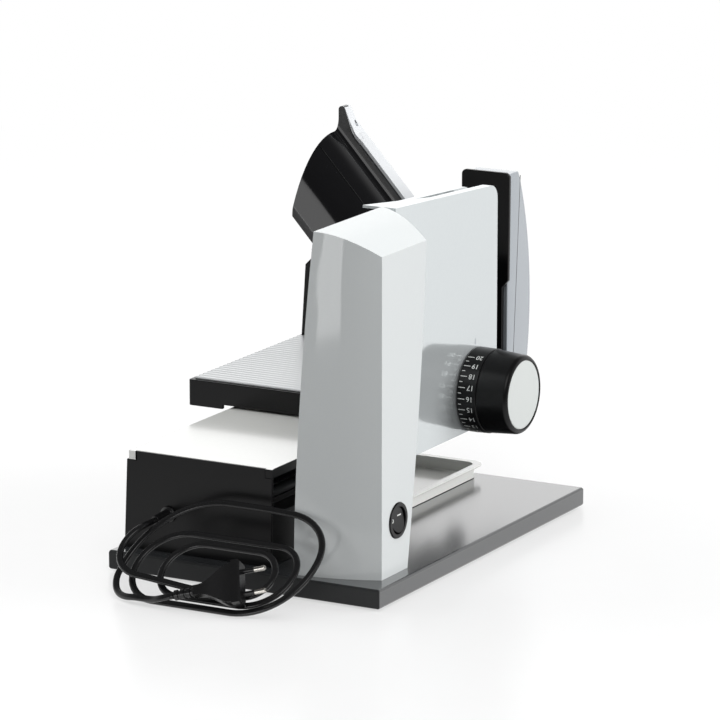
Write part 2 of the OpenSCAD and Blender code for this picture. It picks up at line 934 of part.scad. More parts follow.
module carriage_frame() {
    r = 2;
    color(black)
    place()
    difference() {
        union() {
            translate([0, 0, frame_z])
                linear_extrude(carriage_h)
                    round_rect(carriage_x0, carriage_y0, carriage_x1, carriage_y1, r);
            intersection() {
                translate([0, 0, frame_z - frame_skirt])
                    linear_extrude(frame_skirt + 1)
                        round_rect(carriage_x0, carriage_y0, carriage_x1, carriage_y1, r);
                block(carriage_x0 - 1, carriage_y0 - 1, 0, bridge_x0 - 6, carriage_y1 + 1, deck_z);
            }
        }
        difference() {
            block(carriage_x0 + frame_wall, carriage_y0 + frame_wall, frame_z - frame_skirt - 1,
                carriage_x1 - frame_wall, carriage_y1 - frame_wall, deck_z - frame_wall);
            for (x = glide_x)
                block(x, carriage_y0, frame_z, x + rib_w, carriage_y1, deck_z);
        }
    }
}

module carriage_deck() {
    y0 = carriage_y0 + deck_edge;
    pitch = deck_l / deck_ribs;
    flat = 0.18;
    color(steel)
    place()
    along_x(carriage_x0 + deck_edge, carriage_x1)
        polygon(concat([[y0, deck_z]], [[y0, deck_z + deck_t]],
            [for (i = [0 : deck_ribs - 1]) each [
                for (p = [[0.5 - 2 * flat, 0], [0.5 - flat, 1], [0.5 + flat, 1], [0.5 + 2 * flat, 0]])
                    [y0 + pitch * (i + p[0]), deck_z + deck_t + p[1] * deck_rib_h]]],
            [[y0 + deck_l, deck_z + deck_t]], [[y0 + deck_l, deck_z]]));
}

module carriage_glides() {
    inset = 12;
    color("#d8d5cc")
    place()
    for (x = glide_x, y = [carriage_y0 + inset, wall_y0 - 40 - inset])
        block(x + 1, y, bridge_top_z + play, x + rib_w - 1, y + 40, frame_z);
}

// Bracket that hangs from the carriage and runs on the guide rod
module guide_shoe() {
    stem = 4;
    x0 = bridge_x1 + 1.5;
    color("#9a9ea1")
    place()
    difference() {
        along_y(shoe_y, shoe_y + shoe_l)
            union() {
                translate([x0, guide_z - stem / 2])
                    square([stem, deck_z - frame_wall - guide_z + stem / 2]);
                translate([guide_x, guide_z - stem / 2])
                    square([x0 - guide_x + 1, stem]);
                translate([guide_x, guide_z])
                    circle(r = rod_d / 2 + 3.5);
            }
        rod_y(shoe_y - 1, shoe_y + shoe_l + 1, guide_x, guide_z, rod_d / 2 + fit);
    }
}

module carriage_wall() {
    lean_in = 6;
    step_z = 62;
    step = 4;
    x0 = carriage_x0 + deck_edge;
    color(black)
    place()
    along_y(wall_y0, wall_y1)
        polygon([[x0, deck_z], [carriage_x1, deck_z], [carriage_x1, wall_z], [x0 + lean_in + step, wall_z],
            [x0 + lean_in + step, deck_z + step_z + 6], [x0 + lean_in - 2, deck_z + step_z]]);
}

module thumb_guard() {
    r = 4;
    low = 55;
    step = 6;
    web_h = 58;
    top = deck_z + guard_h;
    color(black)
    place() {
        along_y(guard_y0, carriage_y1)
            polygon(concat(
                [[guard_x0, deck_z], [guard_x1 - step, deck_z], [guard_x1 - step, deck_z + low],
                    [guard_x1 - 0.6, deck_z + low + step], [guard_x1, top - 3], [guard_x1 - 3, top]],
                arc([guard_x0 + r, top - r], r, 90, 180)));
        block(guard_x0, wall_y1, deck_z, guard_x0 + guard_t, guard_y0, deck_z + web_h);
    }
}

// Outline of the handle in (y, z), drawn in by e
function handle_outline(e) =
    let (
        cz = deck_z + 32.7,
        cy = handle_y1 - handle_r,
        r = handle_r - e,
        z0 = frame_z + e,
        z1 = deck_z + guard_h - 2 - e,
        a0 = asin((z0 - cz) / r),
        a1 = asin((z1 - cz) / r)
    )
    concat([[carriage_y1, z0]], arc([cy, cz], r, a0, a1, 20), [[carriage_y1, z1]]);

module handle_shell() {
    inset = 3;
    r = 4;
    facet = 6;
    facet_lean = 4;
    facet_y = carriage_y1 + 12;
    color(silver)
    place()
    difference() {
        intersection() {
            along_x(guard_x0 + inset, guard_x1 - inset)
                polygon(handle_outline(0));
            translate([0, 0, frame_z - 1])
                linear_extrude(2 * guard_h)
                    round_rect(guard_x0 + inset, carriage_y1 - 3 * r, guard_x1 - inset, handle_y1 + 1, r);
        }
        along_x(guard_x0 + inset + 2 * handle_wall, guard_x1 - inset - 2 * handle_wall)
            polygon(handle_outline(handle_wall));
        for (side = [-1, 1])
            translate([side > 0 ? guard_x1 - inset : guard_x0 + inset, facet_y, deck_z])
                rotate([-facet_lean, 0, 0])
                    rotate([0, 0, side * facet])
                        translate([side > 0 ? 0 : -guard_h, -guard_h / 2, -guard_h])
                            cube([guard_h, 2 * guard_h, 3 * guard_h]);
    }
}

// Food holder

// Curve of the hood across its slope, drawn in by e: x is depth, y is reach over the deck
function hood_curve(e) =
    let (
        c = [hood_top + hood_r, hood_reach],
        a = 180 - asin((hood_w - hood_fillet - hood_reach) / (hood_r - hood_fillet)),
        f = c + (hood_r - hood_fillet) * [cos(a), sin(a)]
    )
    concat([[hood_top + e, 0]], arc(c, hood_r - e, 180, a, 12), arc(f, hood_fillet - e, a, 90, 4),
        [[f.x + hood_skirt, hood_w - e]]);

function backwards(list) = [for (i = [len(list) - 1 : -1 : 0]) list[i]];

// Runs a (depth, reach) outline down the hood's slope from its top edge
module along_hood() {
    translate([hood_x0, holder_y, holder_z])
        rotate([0, -holder_slope, 0])
            rotate([0, 0, 180])
                translate([0, 0, -2 * holder_h])
                    linear_extrude(3 * holder_h)
                        children();
}

// Curved hand shield with the web that carries it on the saddle
module holder_hood() {
    fillet = hood_reach - hood_t;
    tip_z = holder_z + tab_h;
    color(black)
    place()
    difference() {
        intersection() {
            along_hood() {
                polygon(concat(hood_curve(0), backwards(hood_curve(hood_t))));
                translate([-2 * tab_h, -wall_t])
                    square([4 * hood_w, wall_t + hood_t]);
                polygon(concat([[hood_top + hood_t, hood_t / 2], [hood_top - fillet, hood_t / 2]],
                    arc([hood_top - fillet, hood_t + fillet], fillet, -90, 0),
                    [[hood_top + hood_t, hood_t + fillet]]));
            }
            along_y(holder_y - 2 * hood_w, wall_y1 + 1)
                polygon(concat(
                    [[hood_x0, hood_low]],
                    arc([hood_x0 + tab_r, tip_z - tab_r], tab_r, 180, 20),
                    [[hood_x0 + tab_w, holder_z - tab_w / tan(holder_slope)], [hood_x1, saddle_z1],
                        [hood_x1, hood_low]]));
        }
        block(hood_x0 - 1, press_y1, 0, hood_x1 + 1, wall_y1 + 2, saddle_z1);
    }
}

module holder_trim() {
    slot = 4;
    color(silver)
    place()
    difference() {
        intersection() {
            along_hood()
                translate([-trim_t, -trim_w])
                    square([trim_t, trim_w]);
            block(hood_x0, holder_y - 1, saddle_z1, hood_x1 + trim_t, holder_y + 2 * trim_w, 2 * holder_z);
        }
        block(hood_x0 - 1, holder_y - 2, saddle_z1, hood_x0 + tab_w + 2 * trim_t, wall_y1 + play,
            2 * holder_z);
        block(hood_x0 + 2 * slot, wall_y1 + slot, saddle_z1, hood_x0 + 3 * slot, wall_y1 + 1.6 * slot,
            2 * holder_z);
    }
}

// Clip that rides on the top of the carriage's wall
module holder_saddle() {
    y0 = wall_y0 - play;
    y1 = wall_y1 + play;
    color(black)
    place()
    difference() {
        block(saddle_x0, y0 - saddle_wall, wall_z - saddle_h, hood_x1, y1 + saddle_wall, saddle_z1);
        block(saddle_x0 - 1, y0, wall_z - saddle_h - 1, hood_x1 + 1, y1, wall_z + play);
    }
}

// Height of the hood's outer face where the press plate closes its end
function press_top(reach) =
    let (d = reach - hood_reach)
    saddle_z1 - (hood_top + hood_r - sqrt(hood_r * hood_r - d * d)) / sin(holder_slope);

module press_plate() {
    pitch = 12;
    tooth = 2;
    color(black)
    place() {
        intersection() {
            along_hood()
                polygon(concat(hood_curve(0), [[4 * hood_w, hood_w], [4 * hood_w, 0]]));
            block(hood_x1, holder_y - hood_w - 1, hood_low, hood_x1 + press_t, press_y1, holder_z);
        }
        for (i = [0 : press_rows - 1], reach = [2 * pitch : pitch : hood_w - pitch / 2])
            if (hood_low + pitch * (i + 0.5) < press_top(reach) - tooth * 2)
                translate([hood_x1 + press_t, holder_y - reach, hood_low + pitch * (i + 0.5)])
                    rotate([0, 90, 0])
                        cylinder(h = tooth, r1 = tooth, r2 = tooth / 4);
    }
}

// Tray

module tray() {
    r = 9;
    z0 = base_top + play;
    color(white)
    place()
    difference() {
        union() {
            translate([0, 0, z0])
                linear_extrude(tray_h)
                    tray_outline(tray_rim, r);
            translate([0, 0, z0 + tray_h - tray_wall])
                linear_extrude(tray_wall)
                    tray_outline(0, r + tray_rim / 2);
        }
        translate([0, 0, z0 + tray_wall])
            linear_extrude(tray_h)
                tray_outline(tray_rim + tray_wall, r - tray_wall);
    }
}

// Outline of the tray drawn in by e
module tray_outline(e, r) {
    round_rect(tray_x1 - tray_w + e, tray_y1 - tray_l + e, tray_x1 - e, tray_y1 - e, r);
}

// Cord, gland and plug

// Tapered strain relief through the bridge's rear panel
module cord_gland() {
    r = gland_r;
    f = gland_flange;
    inner = -panel_t;
    color(black)
    place()
    translate([gland_x, bridge_y0, base_top + gland_z])
        rotate([90, 0, 0])
            rotate_extrude()
                polygon([[0, inner - f], [r + f, inner - f], [r + f, inner], [r, inner], [r, 0], [r + f, 0],
                    [r + f, f], [r, f + 1], [gland_tip_r, gland_l], [0, gland_l]]);
}

// Local frame of the cord bundle: across, up the slope, and off it
module on_lean() {
    translate([0, lean_y, lean_z])
        rotate([lean, 0, 0])
            children();
}

function to_lean(p) =
    let (y = p.y - lean_y, z = p.z - lean_z)
    [p.x, y * cos(lean) + z * sin(lean), z * cos(lean) - y * sin(lean)];

function smooth(t) = t * t * (3 - 2 * t);

// Outermost points of the loops as they are laid, the first and the last of them above the rest:
// to the left, then below, right, above and left of each loop, and below again
loop_marks = [[-82, 40, 2.2 * layer],
    [8, 17.2, 0], [48, 38, 0], [-15, 59.5, 0], [-46, 31, 0],
    [8, 9.6, 0], [64, 45, 0], [-9, 67, 0], [-70, 30, 0],
    [8, 2.4, 0], [80, 58, 3], [12, 94, 8], [-81.5, 23, 0],
    [-50, -1, 1.45 * layer]];

// Point at share t of a loop's quarter: up or down from side mark p, round the widest bend there is
// room for, and level to top or foot mark q
function quarter(p, q, t) =
    let (
        du = q.x - p.x,
        dv = q.y - p.y,
        r = min(abs(du), abs(dv)),
        upright = abs(dv) - r,
        level = abs(du) - r,
        bend = r * PI / 2,
        s = t * (upright + bend + level),
        a = 90 * min(max((s - upright) / bend, 0), 1)
    )
    [p.x + sign(du) * (r * (1 - cos(a)) + max(0, s - upright - bend)),
        p.y + sign(dv) * (min(s, upright) + r * sin(a))];

// Quarter after mark i: marks take turns to lie at a loop's side and at its top or foot
function loop_arc(i) =
    let (p = loop_marks[i], q = loop_marks[i + 1])
    [for (k = [0 : arc_rings - 1])
        let (
            t = k / arc_rings,
            at = i % 2 == 0 ? quarter(p, q, t) : quarter(q, p, 1 - t),
            rise = smooth(max(0, (t - ease_from) / (1 - ease_from)))
        )
        [at.x, at.y, p.z + (q.z - p.z) * rise]];

// Smooth bend from a toward b, and past c to d
function soft_bend(a, b, c, d) =
    [for (k = [0 : bend_rings])
        let (t = k / bend_rings, r = 1 - t)
        r * r * r * a + 3 * r * r * t * b + 3 * r * t * t * c + t * t * t * d];

gland_tip = to_lean([gland_x, gland_y, base_top + gland_z]);
gland_way = [0, -cos(lean), sin(lean)];
plug_way = [cos(plug_turn.y) * cos(plug_turn.z), cos(plug_turn.y) * sin(plug_turn.z), -sin(plug_turn.y)];
gland_out = gland_tip + 1.5 * cord_w * gland_way;
first_mark = loop_marks[0];
last_mark = loop_marks[len(loop_marks) - 1];
plug_in = plug_tail - cord_w * plug_way;
lead_in = soft_bend(gland_out, gland_out + 14 * gland_way, first_mark + [0, 12, 0], first_mark);
cord_path = concat(
    [gland_tip],
    [for (k = [0 : bend_rings - 1]) lead_in[k]],
    [for (i = [0 : len(loop_marks) - 2]) each loop_arc(i)],
    soft_bend(last_mark, last_mark + [16, 0, 0], plug_in - 12 * plug_way, plug_in),
    [plug_tail]);

function unit(v) = v / norm(v);

// Way of the cord at point i, square to what it meets at both ends
function cord_way(i) =
    i == 0 ? gland_way
    : i == len(cord_path) - 1 ? plug_way
    : unit(cord_path[i + 1] - cord_path[i - 1]);

// One six-sided ring of the flat cord at point i
function cord_ring(i) =
    let (way = cord_way(i), side = unit(cross([0, 0, 1], way)), lift = cross(way, side))
    [for (k = [0 : 5]) cord_path[i] + side * cord_w / 2 * cos(60 * k) + lift * cord_t / 2 * sin(60 * k)];

// Least clear distance between two strands of the bundle
cord_gap = min([for (i = [0 : len(cord_path) - 5], j = [i + 4 : len(cord_path) - 1])
    let (d = cord_path[j] - cord_path[i]) max(norm([d.x, d.y]) - cord_w, abs(d.z) - cord_t)]);

function len_of(path, i = 0) = i >= len(path) - 1 ? 0 : norm(path[i + 1] - path[i]) + len_of(path, i + 1);

module cord() {
    n = len(cord_path);
    echo(least_gap_between_strands = cord_gap, free_length = len_of(cord_path));
    color(black)
    place()
    on_lean()
        polyhedron([for (i = [0 : n - 1]) each cord_ring(i)],
            concat(
                [for (i = [0 : n - 2], k = [0 : 5])
                    let (a = 6 * i + k, b = 6 * i + (k + 1) % 6)
                    each [[a, a + 6, b + 6], [a, b + 6, b]]],
                [for (k = [1 : 4]) each [[0, k, k + 1], [6 * n - 6, 6 * n - 6 + k + 1, 6 * n - 6 + k]]]));
}

// Local frame of the plug: its axis, its width and its thickness
module on_plug() {
    on_lean()
        translate(plug_tail)
            rotate(plug_turn)
                children();
}

// Half width of the plug at x, from half size a at its neck to b at share 1 of its flare
function plug_flare(a, b, flare) =
    [for (i = [0 : 8]) [plug_neck_l + flare * i / 8, a + (b - a) * smooth(i / 8)]];

// An outline on both sides of the plug's axis
function both_sides(half) = concat(half, backwards([for (p = half) [p.x, -p.y]]));

// Flat two-pin plug: a flared body with a collar, and a ribbed neck
module plug_body() {
    w = plug_w / 2;
    h = plug_h / 2;
    r = plug_neck_r;
    n = plug_neck_l;
    l = plug_l;
    c = plug_l - plug_collar;
    groove = [[r, 0.4], [r, 3], [r - 1, 3.4], [r - 1, 4.8]];
    color(black)
    place()
    on_plug() {
        intersection() {
            translate([0, 0, -h])
                linear_extrude(plug_h)
                    polygon(both_sides(concat([[n - 4, r]], plug_flare(r, w - 1.5, c - n),
                        [[c, w], [l - 1, w], [l, w - 1]])));
            rotate([90, 0, 0])
                linear_extrude(plug_w, center = true)
                    polygon(both_sides(concat([[n - 4, r]], plug_flare(r, h - 0.8, c - n),
                        [[c, h], [l - 1, h], [l, h - 1]])));
        }
        rotate([0, 90, 0])
            rotate_extrude()
                polygon(concat([[0, 0], [r - 0.6, 0]], [for (i = [0 : 3], p = groove) p + [0, 5 * i]],
                    [[r - 0.5, n], [0, n]]));
    }
}

module plug_pins() {
    color(steel)
    place()
    on_plug()
        for (y = [-pin_gap / 2, pin_gap / 2])
            translate([plug_l, y, 0])
                rotate([0, 90, 0]) {
                    cylinder(h = pin_sleeve_l, d = pin_d - 0.2);
                    translate([0, 0, pin_sleeve_l])
                        cylinder(h = pin_l - pin_sleeve_l - 1, d = pin_d);
                    translate([0, 0, pin_l - 1])
                        cylinder(h = 1, d1 = pin_d, d2 = pin_d - 1.4);
                }
}

base_board();
rubber_feet();
tower_shell();
blade_housing();
bearing_bush();
motor();
motor_pinion();
drive_gear();
blade_shaft();
blade();
blade_cover();
gauge_housing();
guide_sleeve();
gauge_plate();
gauge_spindle();
thickness_knob();
dial_ring();
knob_cap();
switch_bezel();
switch_rocker();
bridge_body();
bridge_leg();
bridge_rear_panel();
bridge_top();
guide_rod();
rod_hanger();
carriage_frame();
carriage_deck();
carriage_glides();
guide_shoe();
carriage_wall();
thumb_guard();
handle_shell();
holder_hood();
holder_trim();
holder_saddle();
press_plate();
tray();
cord_gland();
cord();
plug_body();
plug_pins();
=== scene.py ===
# %% [markdown]
# # Electric food slicer
#
# A slicer of this kind is a thin base board that carries two things: a painted tower with the
# motor, the round blade and the thickness gauge, and a low bridge on which the food carriage slides
# past the blade. The CAD frame already holds every piece at its true size and place. This file
# gives the pieces their edges, finishes and printed marks, lays the mains lead, and lights the set.

# %% The frame
import math

import bpy
from mathutils import Matrix, Vector
from mathutils.bvhtree import BVHTree


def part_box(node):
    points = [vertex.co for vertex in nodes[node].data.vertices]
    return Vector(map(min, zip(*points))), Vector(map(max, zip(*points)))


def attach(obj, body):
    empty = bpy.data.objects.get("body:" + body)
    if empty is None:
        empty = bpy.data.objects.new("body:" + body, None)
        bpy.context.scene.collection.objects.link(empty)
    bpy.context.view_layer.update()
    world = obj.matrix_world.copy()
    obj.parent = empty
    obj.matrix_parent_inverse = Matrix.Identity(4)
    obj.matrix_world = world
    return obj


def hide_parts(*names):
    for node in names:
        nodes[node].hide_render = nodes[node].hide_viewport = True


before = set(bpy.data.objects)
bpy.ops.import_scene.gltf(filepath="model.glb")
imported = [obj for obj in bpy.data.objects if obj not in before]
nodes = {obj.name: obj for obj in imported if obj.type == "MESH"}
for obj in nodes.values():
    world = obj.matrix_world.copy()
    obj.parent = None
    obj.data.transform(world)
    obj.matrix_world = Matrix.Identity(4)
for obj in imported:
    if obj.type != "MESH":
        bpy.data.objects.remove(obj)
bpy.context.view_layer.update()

MM = 0.001
# middle of the base board in the frame, in mm
BASE_MIDDLE = Vector((13.5, -35, 0))


def at(x, y, z):
    """A point in mm, measured from the middle of the base, in the frame's metres."""
    return (Vector((x, y, z)) + BASE_MIDDLE) * MM


# %% [markdown]
# ## The viewpoint
#
# The slicer is seen from behind its right-hand corner, from far away through a long lens, so that
# upright edges stay upright. A camera could be aimed with a Track To constraint. Here its three axes
# are worked out from a turn and a rise, so that its place can be given along the same axes. Both
# angles and the place come from the corners of the base board and the tower.

# %% The camera
TURN, RISE = math.radians(28.73), math.radians(13.27)
# the camera's place in mm, to its own right, up and back
STAND = (6.52, 142.28, 3859.22)
back = Vector((math.sin(TURN) * math.cos(RISE), -math.cos(TURN) * math.cos(RISE), math.sin(RISE)))
right = Vector((math.cos(TURN), math.sin(TURN), 0))
up = back.cross(right)
camera = bpy.data.objects.new("camera", bpy.data.cameras.new("camera"))
camera.data.sensor_width = 36
camera.data.lens = 241.6
camera.data.clip_start = 0.1
camera.data.clip_end = 50
camera.matrix_world = Matrix((right, up, back)).transposed().to_4x4()
camera.location = at(*(STAND[0] * right + STAND[1] * up + STAND[2] * back))
bpy.context.scene.collection.objects.link(camera)
bpy.context.scene.camera = camera
print("camera", [round(v, 3) for v in camera.location])

# %% [markdown]
# ## Making a finish
#
# Every finish below is one Principled shader with a noise pattern behind it, whose size is given in
# millimetres. Image textures could do the same, but a pattern made of nodes needs no files and no
# unwrapping. The helpers turn a colour as it is read on a screen into linear light once, and add one
# node at a time with its settings and links.


# %% Helpers for finishes
def linear(code):
    """Linear colour of an sRGB hex code."""
    parts = [int(code[i : i + 2], 16) / 255 for i in (1, 3, 5)]
    return [c / 12.92 if c <= 0.04045 else ((c + 0.055) / 1.055) ** 2.4 for c in parts] + [1]


def add(tree, kind, settings=None, **links):
    """A node with its settings. Inputs, by name or by i and a number, take a value, a node or an output."""
    node = tree.nodes.new(kind if "Node" in kind else "ShaderNode" + kind)
    for key, value in (settings or {}).items():
        setattr(node, key, value)
    for key, value in links.items():
        socket = node.inputs[int(key[1:])] if key[1:].isdigit() else node.inputs[key]
        if isinstance(value, bpy.types.Node):
            value = value.outputs[0]
        if isinstance(value, bpy.types.NodeSocket):
            tree.links.new(value, socket)
        else:
            socket.default_value = value
    return node


# settings of the nodes that are used most
PLUS, LESS, TIMES = {"operation": "ADD"}, {"operation": "SUBTRACT"}, {"operation": "MULTIPLY"}
LENGTH, DOT = {"operation": "LENGTH"}, {"operation": "DOT_PRODUCT"}
COLOURS = {"data_type": "RGBA"}
SOFT_STEP = {"interpolation_type": "SMOOTHSTEP"}
finishes = {}


def finish(name, low, high, size, rough, stretch=(1, 1, 1), metal=0.0, ior=1.5, bump=0.0, coat=0.0,
           coat_rough=0.05, axis=None, shine=0.5):
    """A material: two close colours and a roughness range driven by noise of a size in mm.

    With a point of a turning axis along x given, the noise runs in rings round that axis.
    """
    material = bpy.data.materials.new(name)
    material.use_nodes = True
    tree = material.node_tree
    shader = tree.nodes["Principled BSDF"]
    place = add(tree, "TexCoord").outputs["Object"]
    if axis:
        place = add(tree, "VectorMath", LESS, i0=place, i1=axis)
        place = add(tree, "VectorMath", TIMES, i0=place, i1=(0, 1, 1))
        place = add(tree, "VectorMath", LENGTH, i0=place).outputs["Value"]
        place = add(tree, "CombineXYZ", X=place)
    place = add(tree, "Mapping", i0=place, i3=stretch)
    noise = add(tree, "TexNoise", Vector=place, Scale=1 / (size * MM), Detail=3.0)
    colour = add(tree, "Mix", COLOURS, i0=noise, i6=linear(low), i7=linear(high))
    gloss = add(tree, "MapRange", i0=noise, i3=rough[0], i4=rough[1])
    tree.links.new(colour.outputs[2], shader.inputs["Base Color"])
    tree.links.new(gloss.outputs[0], shader.inputs["Roughness"])
    shader.inputs["Metallic"].default_value = metal
    shader.inputs["Specular IOR Level"].default_value = shine
    if not metal:
        shader.inputs["IOR"].default_value = ior
    if coat:
        shader.inputs["Coat Weight"].default_value = coat
        shader.inputs["Coat Roughness"].default_value = coat_rough
    if bump:
        relief = add(tree, "Bump", Height=noise, Strength=0.5, Distance=bump * MM)
        tree.links.new(relief.outputs[0], shader.inputs["Normal"])
    finishes[name] = material
    return material


print("helpers for finishes ready")

# %% [markdown]
# ## Paints and lacquers
#
# The castings and plates are sprayed or stove-enamelled. A sprayed coat is smooth and glossy, with a
# faint mottle a few millimetres wide. A separate clear coat is added only where the gloss lies over
# a duller ground.

# %% Paints and lacquers
# silver-grey paint sprayed on the tower: a smooth gloss that mirrors pale shapes
finish("tower_paint", "#D8DCDD", "#DBDFDF", 1.6, (0.05, 0.07))
# metallic lacquer on the gauge housing: half a mirror, in which the dial shows
finish("panel_paint", "#D6DBDD", "#DADFE0", 3.0, (0.07, 0.09), metal=0.48)
# anthracite board under a clear lacquer: a satin sheen over a dark ground
finish("base_black", "#303234", "#37393B", 0.8, (0.20, 0.26), coat=1.0, coat_rough=0.16)
# the board's rear-facing edge: a duller gloss, and a darker colour that is painted shade
finish("rear_edge_shade", "#242526", "#2E2F30", 0.8, (0.40, 0.50), shine=0.3)
# silver lacquer sprayed on the handle: grey flakes under a thin clear coat
finish("handle_silver", "#A6ACB2", "#AEB4BA", 0.9, (0.16, 0.22), metal=0.35, coat=0.3)
# white stove enamel of the bridge's plate and the tray: clean white with a soft gloss
finish("white_enamel", "#F1F2EE", "#F6F7F4", 2.0, (0.16, 0.20), coat=0.6, coat_rough=0.12)
print(len(finishes), "paints and lacquers")

# %% [markdown]
# ## Plastics, rubber and ink
#
# Moulded ABS takes the spark grain of its mould, which spreads a reflection, and the hood comes from
# a polished mould. Real grain is finer than a tenth of a millimetre, which is too fine to show here,
# so it is drawn half a millimetre wide and only a few thousandths deep.

# %% Plastics, rubber and ink
# grained black ABS: deep black with a broad, weak sheen
finish("black_plastic", "#0A0A0B", "#0F0F10", 0.5, (0.26, 0.34), bump=0.006, shine=0.28)
# polished black ABS of the hood: nearly a black mirror
finish("hood_plastic", "#08080A", "#0C0C0E", 6.0, (0.07, 0.10), bump=0.004)
# rear-facing skirt of the hood: the same ABS with a duller gloss, painted a paler grey as a painted
# reflection
finish("hood_painted_sheen", "#484849", "#525252", 4.0, (0.10, 0.16))
# pale moulded ABS of the knob's cap: a matt off-white
finish("white_plastic", "#D6DAD8", "#DCE0DE", 0.5, (0.30, 0.38), bump=0.006)
# natural moulded nylon of the gear and the glides: a waxy cream
finish("gear_nylon", "#D9D4C2", "#E4E0D0", 0.8, (0.40, 0.50), ior=1.53)
# moulded black rubber of the feet: dull, with hardly a highlight
finish("foot_rubber", "#161616", "#1E1E1E", 0.7, (0.62, 0.75), ior=1.52, bump=0.03)
# extruded soft PVC of the lead: black with a narrow bright highlight
finish("cord_rubber", "#0E0E0F", "#151516", 2.5, (0.20, 0.27), bump=0.006, shine=0.6)
# white and grey pad-printing ink: matt and a little uneven
ink = finish("white_ink", "#D5D8D6", "#E6E7E4", 0.4, (0.45, 0.6))
grey_ink = finish("grey_ink", "#7C828C", "#8A9099", 0.4, (0.4, 0.5))
print(len(finishes), "finishes so far")

# %% [markdown]
# ## Metals
#
# A metal shows how it was worked. Rolled sheet and drawn rod keep a grain along one direction, made
# by stretching the noise; ground discs keep rings round their axis; castings stay matt and grainy.
# Grinding marks are far finer than half a millimetre, and are drawn that wide so that they show.

# %% Metals
# rolled aluminium of the deck, grain along its ribs: bright and satin
finish("deck_aluminium", "#DDE0E1", "#EBEDEE", 0.6, (0.28, 0.38), stretch=(0.03, 1, 1), metal=0.7)
# stainless steel, ground in rings round the blade's axis: streaks of light that fan out
BLADE_AXIS = at(41, -58, 190)
finish("steel", "#B4B8BB", "#CDD0D2", 0.5, (0.16, 0.30), metal=1.0, axis=BLADE_AXIS)
# die-cast aluminium behind the blade: grey and grainy
finish("cast_aluminium", "#9EA2A5", "#B2B6B8", 0.9, (0.42, 0.55), metal=1.0, bump=0.03)
# sintered bronze of the bush: brown and porous
finish("bronze", "#8C6A3C", "#A07B48", 0.5, (0.40, 0.52), metal=1.0, bump=0.02)
# plated steel can of the motor: mid grey with cloudy patches
finish("motor_steel", "#7E8284", "#9A9EA0", 1.5, (0.30, 0.42), metal=1.0)
# bright zinc plate of the hanger and the holder's trim: nearly white
finish("zinc", "#EAEDF0", "#F0F2F4", 0.7, (0.16, 0.20), metal=0.4)
# drawn and blackened steel of the guide rod: dark, with streaks along its length
finish("black_steel", "#141516", "#1C1D1F", 0.8, (0.30, 0.38), stretch=(1, 0.05, 1), metal=1.0)
print(len(finishes), "finishes in all")

# %% [markdown]
# ## Edges of the CAD pieces
#
# No moulded or cast edge is perfectly sharp. The edges could be rounded in CAD, at the cost of many
# small faces in every check. Here modifiers do it: each piece is welded, its flat faces are joined,
# and its edges are broken with a small round that suits the process, wide on painted castings and
# narrow on machined steel. The piece's own mesh stays as it came.

# %% Broken edges and finishes
# width of the round in mm, where it isn't that of a machined piece
FINE_EDGE = 0.25
EDGE = {
    "tower_shell": 1.2, "gauge_housing": 0.9, "base_board": 0.8, "bridge_top": 0.6, "bridge_body": 0.6,
    "bridge_rear_panel": 0.5, "carriage_frame": 0.6, "carriage_wall": 0.6, "thumb_guard": 0.8,
    "handle_shell": 1.0, "holder_hood": 0.7, "holder_trim": 0.4, "holder_saddle": 0.6, "tray": 0.5,
    "bridge_leg": 0.5, "knob_cap": 0.3, "plug_body": 0.4,
}
WEARERS = {
    "base_black": ["base_board"],
    "foot_rubber": ["rubber_feet"],
    "tower_paint": ["tower_shell"],
    "panel_paint": ["gauge_housing", "gauge_plate"],
    "cast_aluminium": ["blade_housing", "guide_sleeve"],
    "bronze": ["bearing_bush"],
    "motor_steel": ["motor"],
    "steel": ["blade", "blade_cover", "blade_shaft", "motor_pinion", "gauge_spindle", "plug_pins"],
    "black_steel": ["guide_rod"],
    "gear_nylon": ["drive_gear", "carriage_glides"],
    "zinc": ["rod_hanger", "holder_trim"],
    "deck_aluminium": ["carriage_deck"],
    "handle_silver": ["handle_shell"],
    "white_plastic": ["knob_cap"],
    "white_enamel": ["bridge_top", "tray"],
    "cord_rubber": ["cord_gland", "plug_body"],
    "hood_plastic": ["holder_hood"],
    "black_plastic": [
        "thickness_knob", "dial_ring", "switch_bezel", "switch_rocker", "bridge_body", "bridge_leg",
        "bridge_rear_panel", "carriage_frame", "guide_shoe", "carriage_wall", "thumb_guard",
        "holder_saddle", "press_plate",
    ],
}


def soften(piece, width):
    """Welds a CAD piece and breaks its edges; the modifiers leave its own vertices alone."""
    weld = piece.modifiers.new("weld", "WELD")
    weld.merge_threshold = 1e-6
    flat = piece.modifiers.new("join_flats", "DECIMATE")
    flat.decimate_type = "DISSOLVE"
    flat.angle_limit = math.radians(0.4)
    edge = piece.modifiers.new("edges", "BEVEL")
    edge.width = width * MM
    edge.segments = 2
    edge.limit_method = "ANGLE"
    edge.angle_limit = math.radians(32)
    shade = piece.modifiers.new("shade", "WEIGHTED_NORMAL")
    shade.keep_sharp = True
    piece.data.shade_smooth()


for wears, names in WEARERS.items():
    for name in names:
        piece = nodes[name]
        piece.data.materials.clear()
        piece.data.materials.append(finishes[wears])
        soften(piece, EDGE.get(name, FINE_EDGE))
print(sum(len(names) for names in WEARERS.values()), "CAD pieces finished")

# %% [markdown]
# ## Second finishes
#
# Three pieces change their finish from one face to the next. The bridge's plate is black at its
# right-hand end. The board's rear-facing edge is duller and darker, which is painted shade, and the
# hood's rear-facing skirt is paler, which is a painted reflection. Thin covers could be laid over
# those faces. A second material slot, chosen by where a face points, gives the same look with no new
# geometry.


# %% Second finishes
def refinish(name, wears, chosen):
    """Gives the chosen faces of a CAD piece a second finish."""
    mesh = nodes[name].data
    mesh.materials.append(finishes[wears])
    for face in mesh.polygons:
        face.material_index = int(chosen(face))


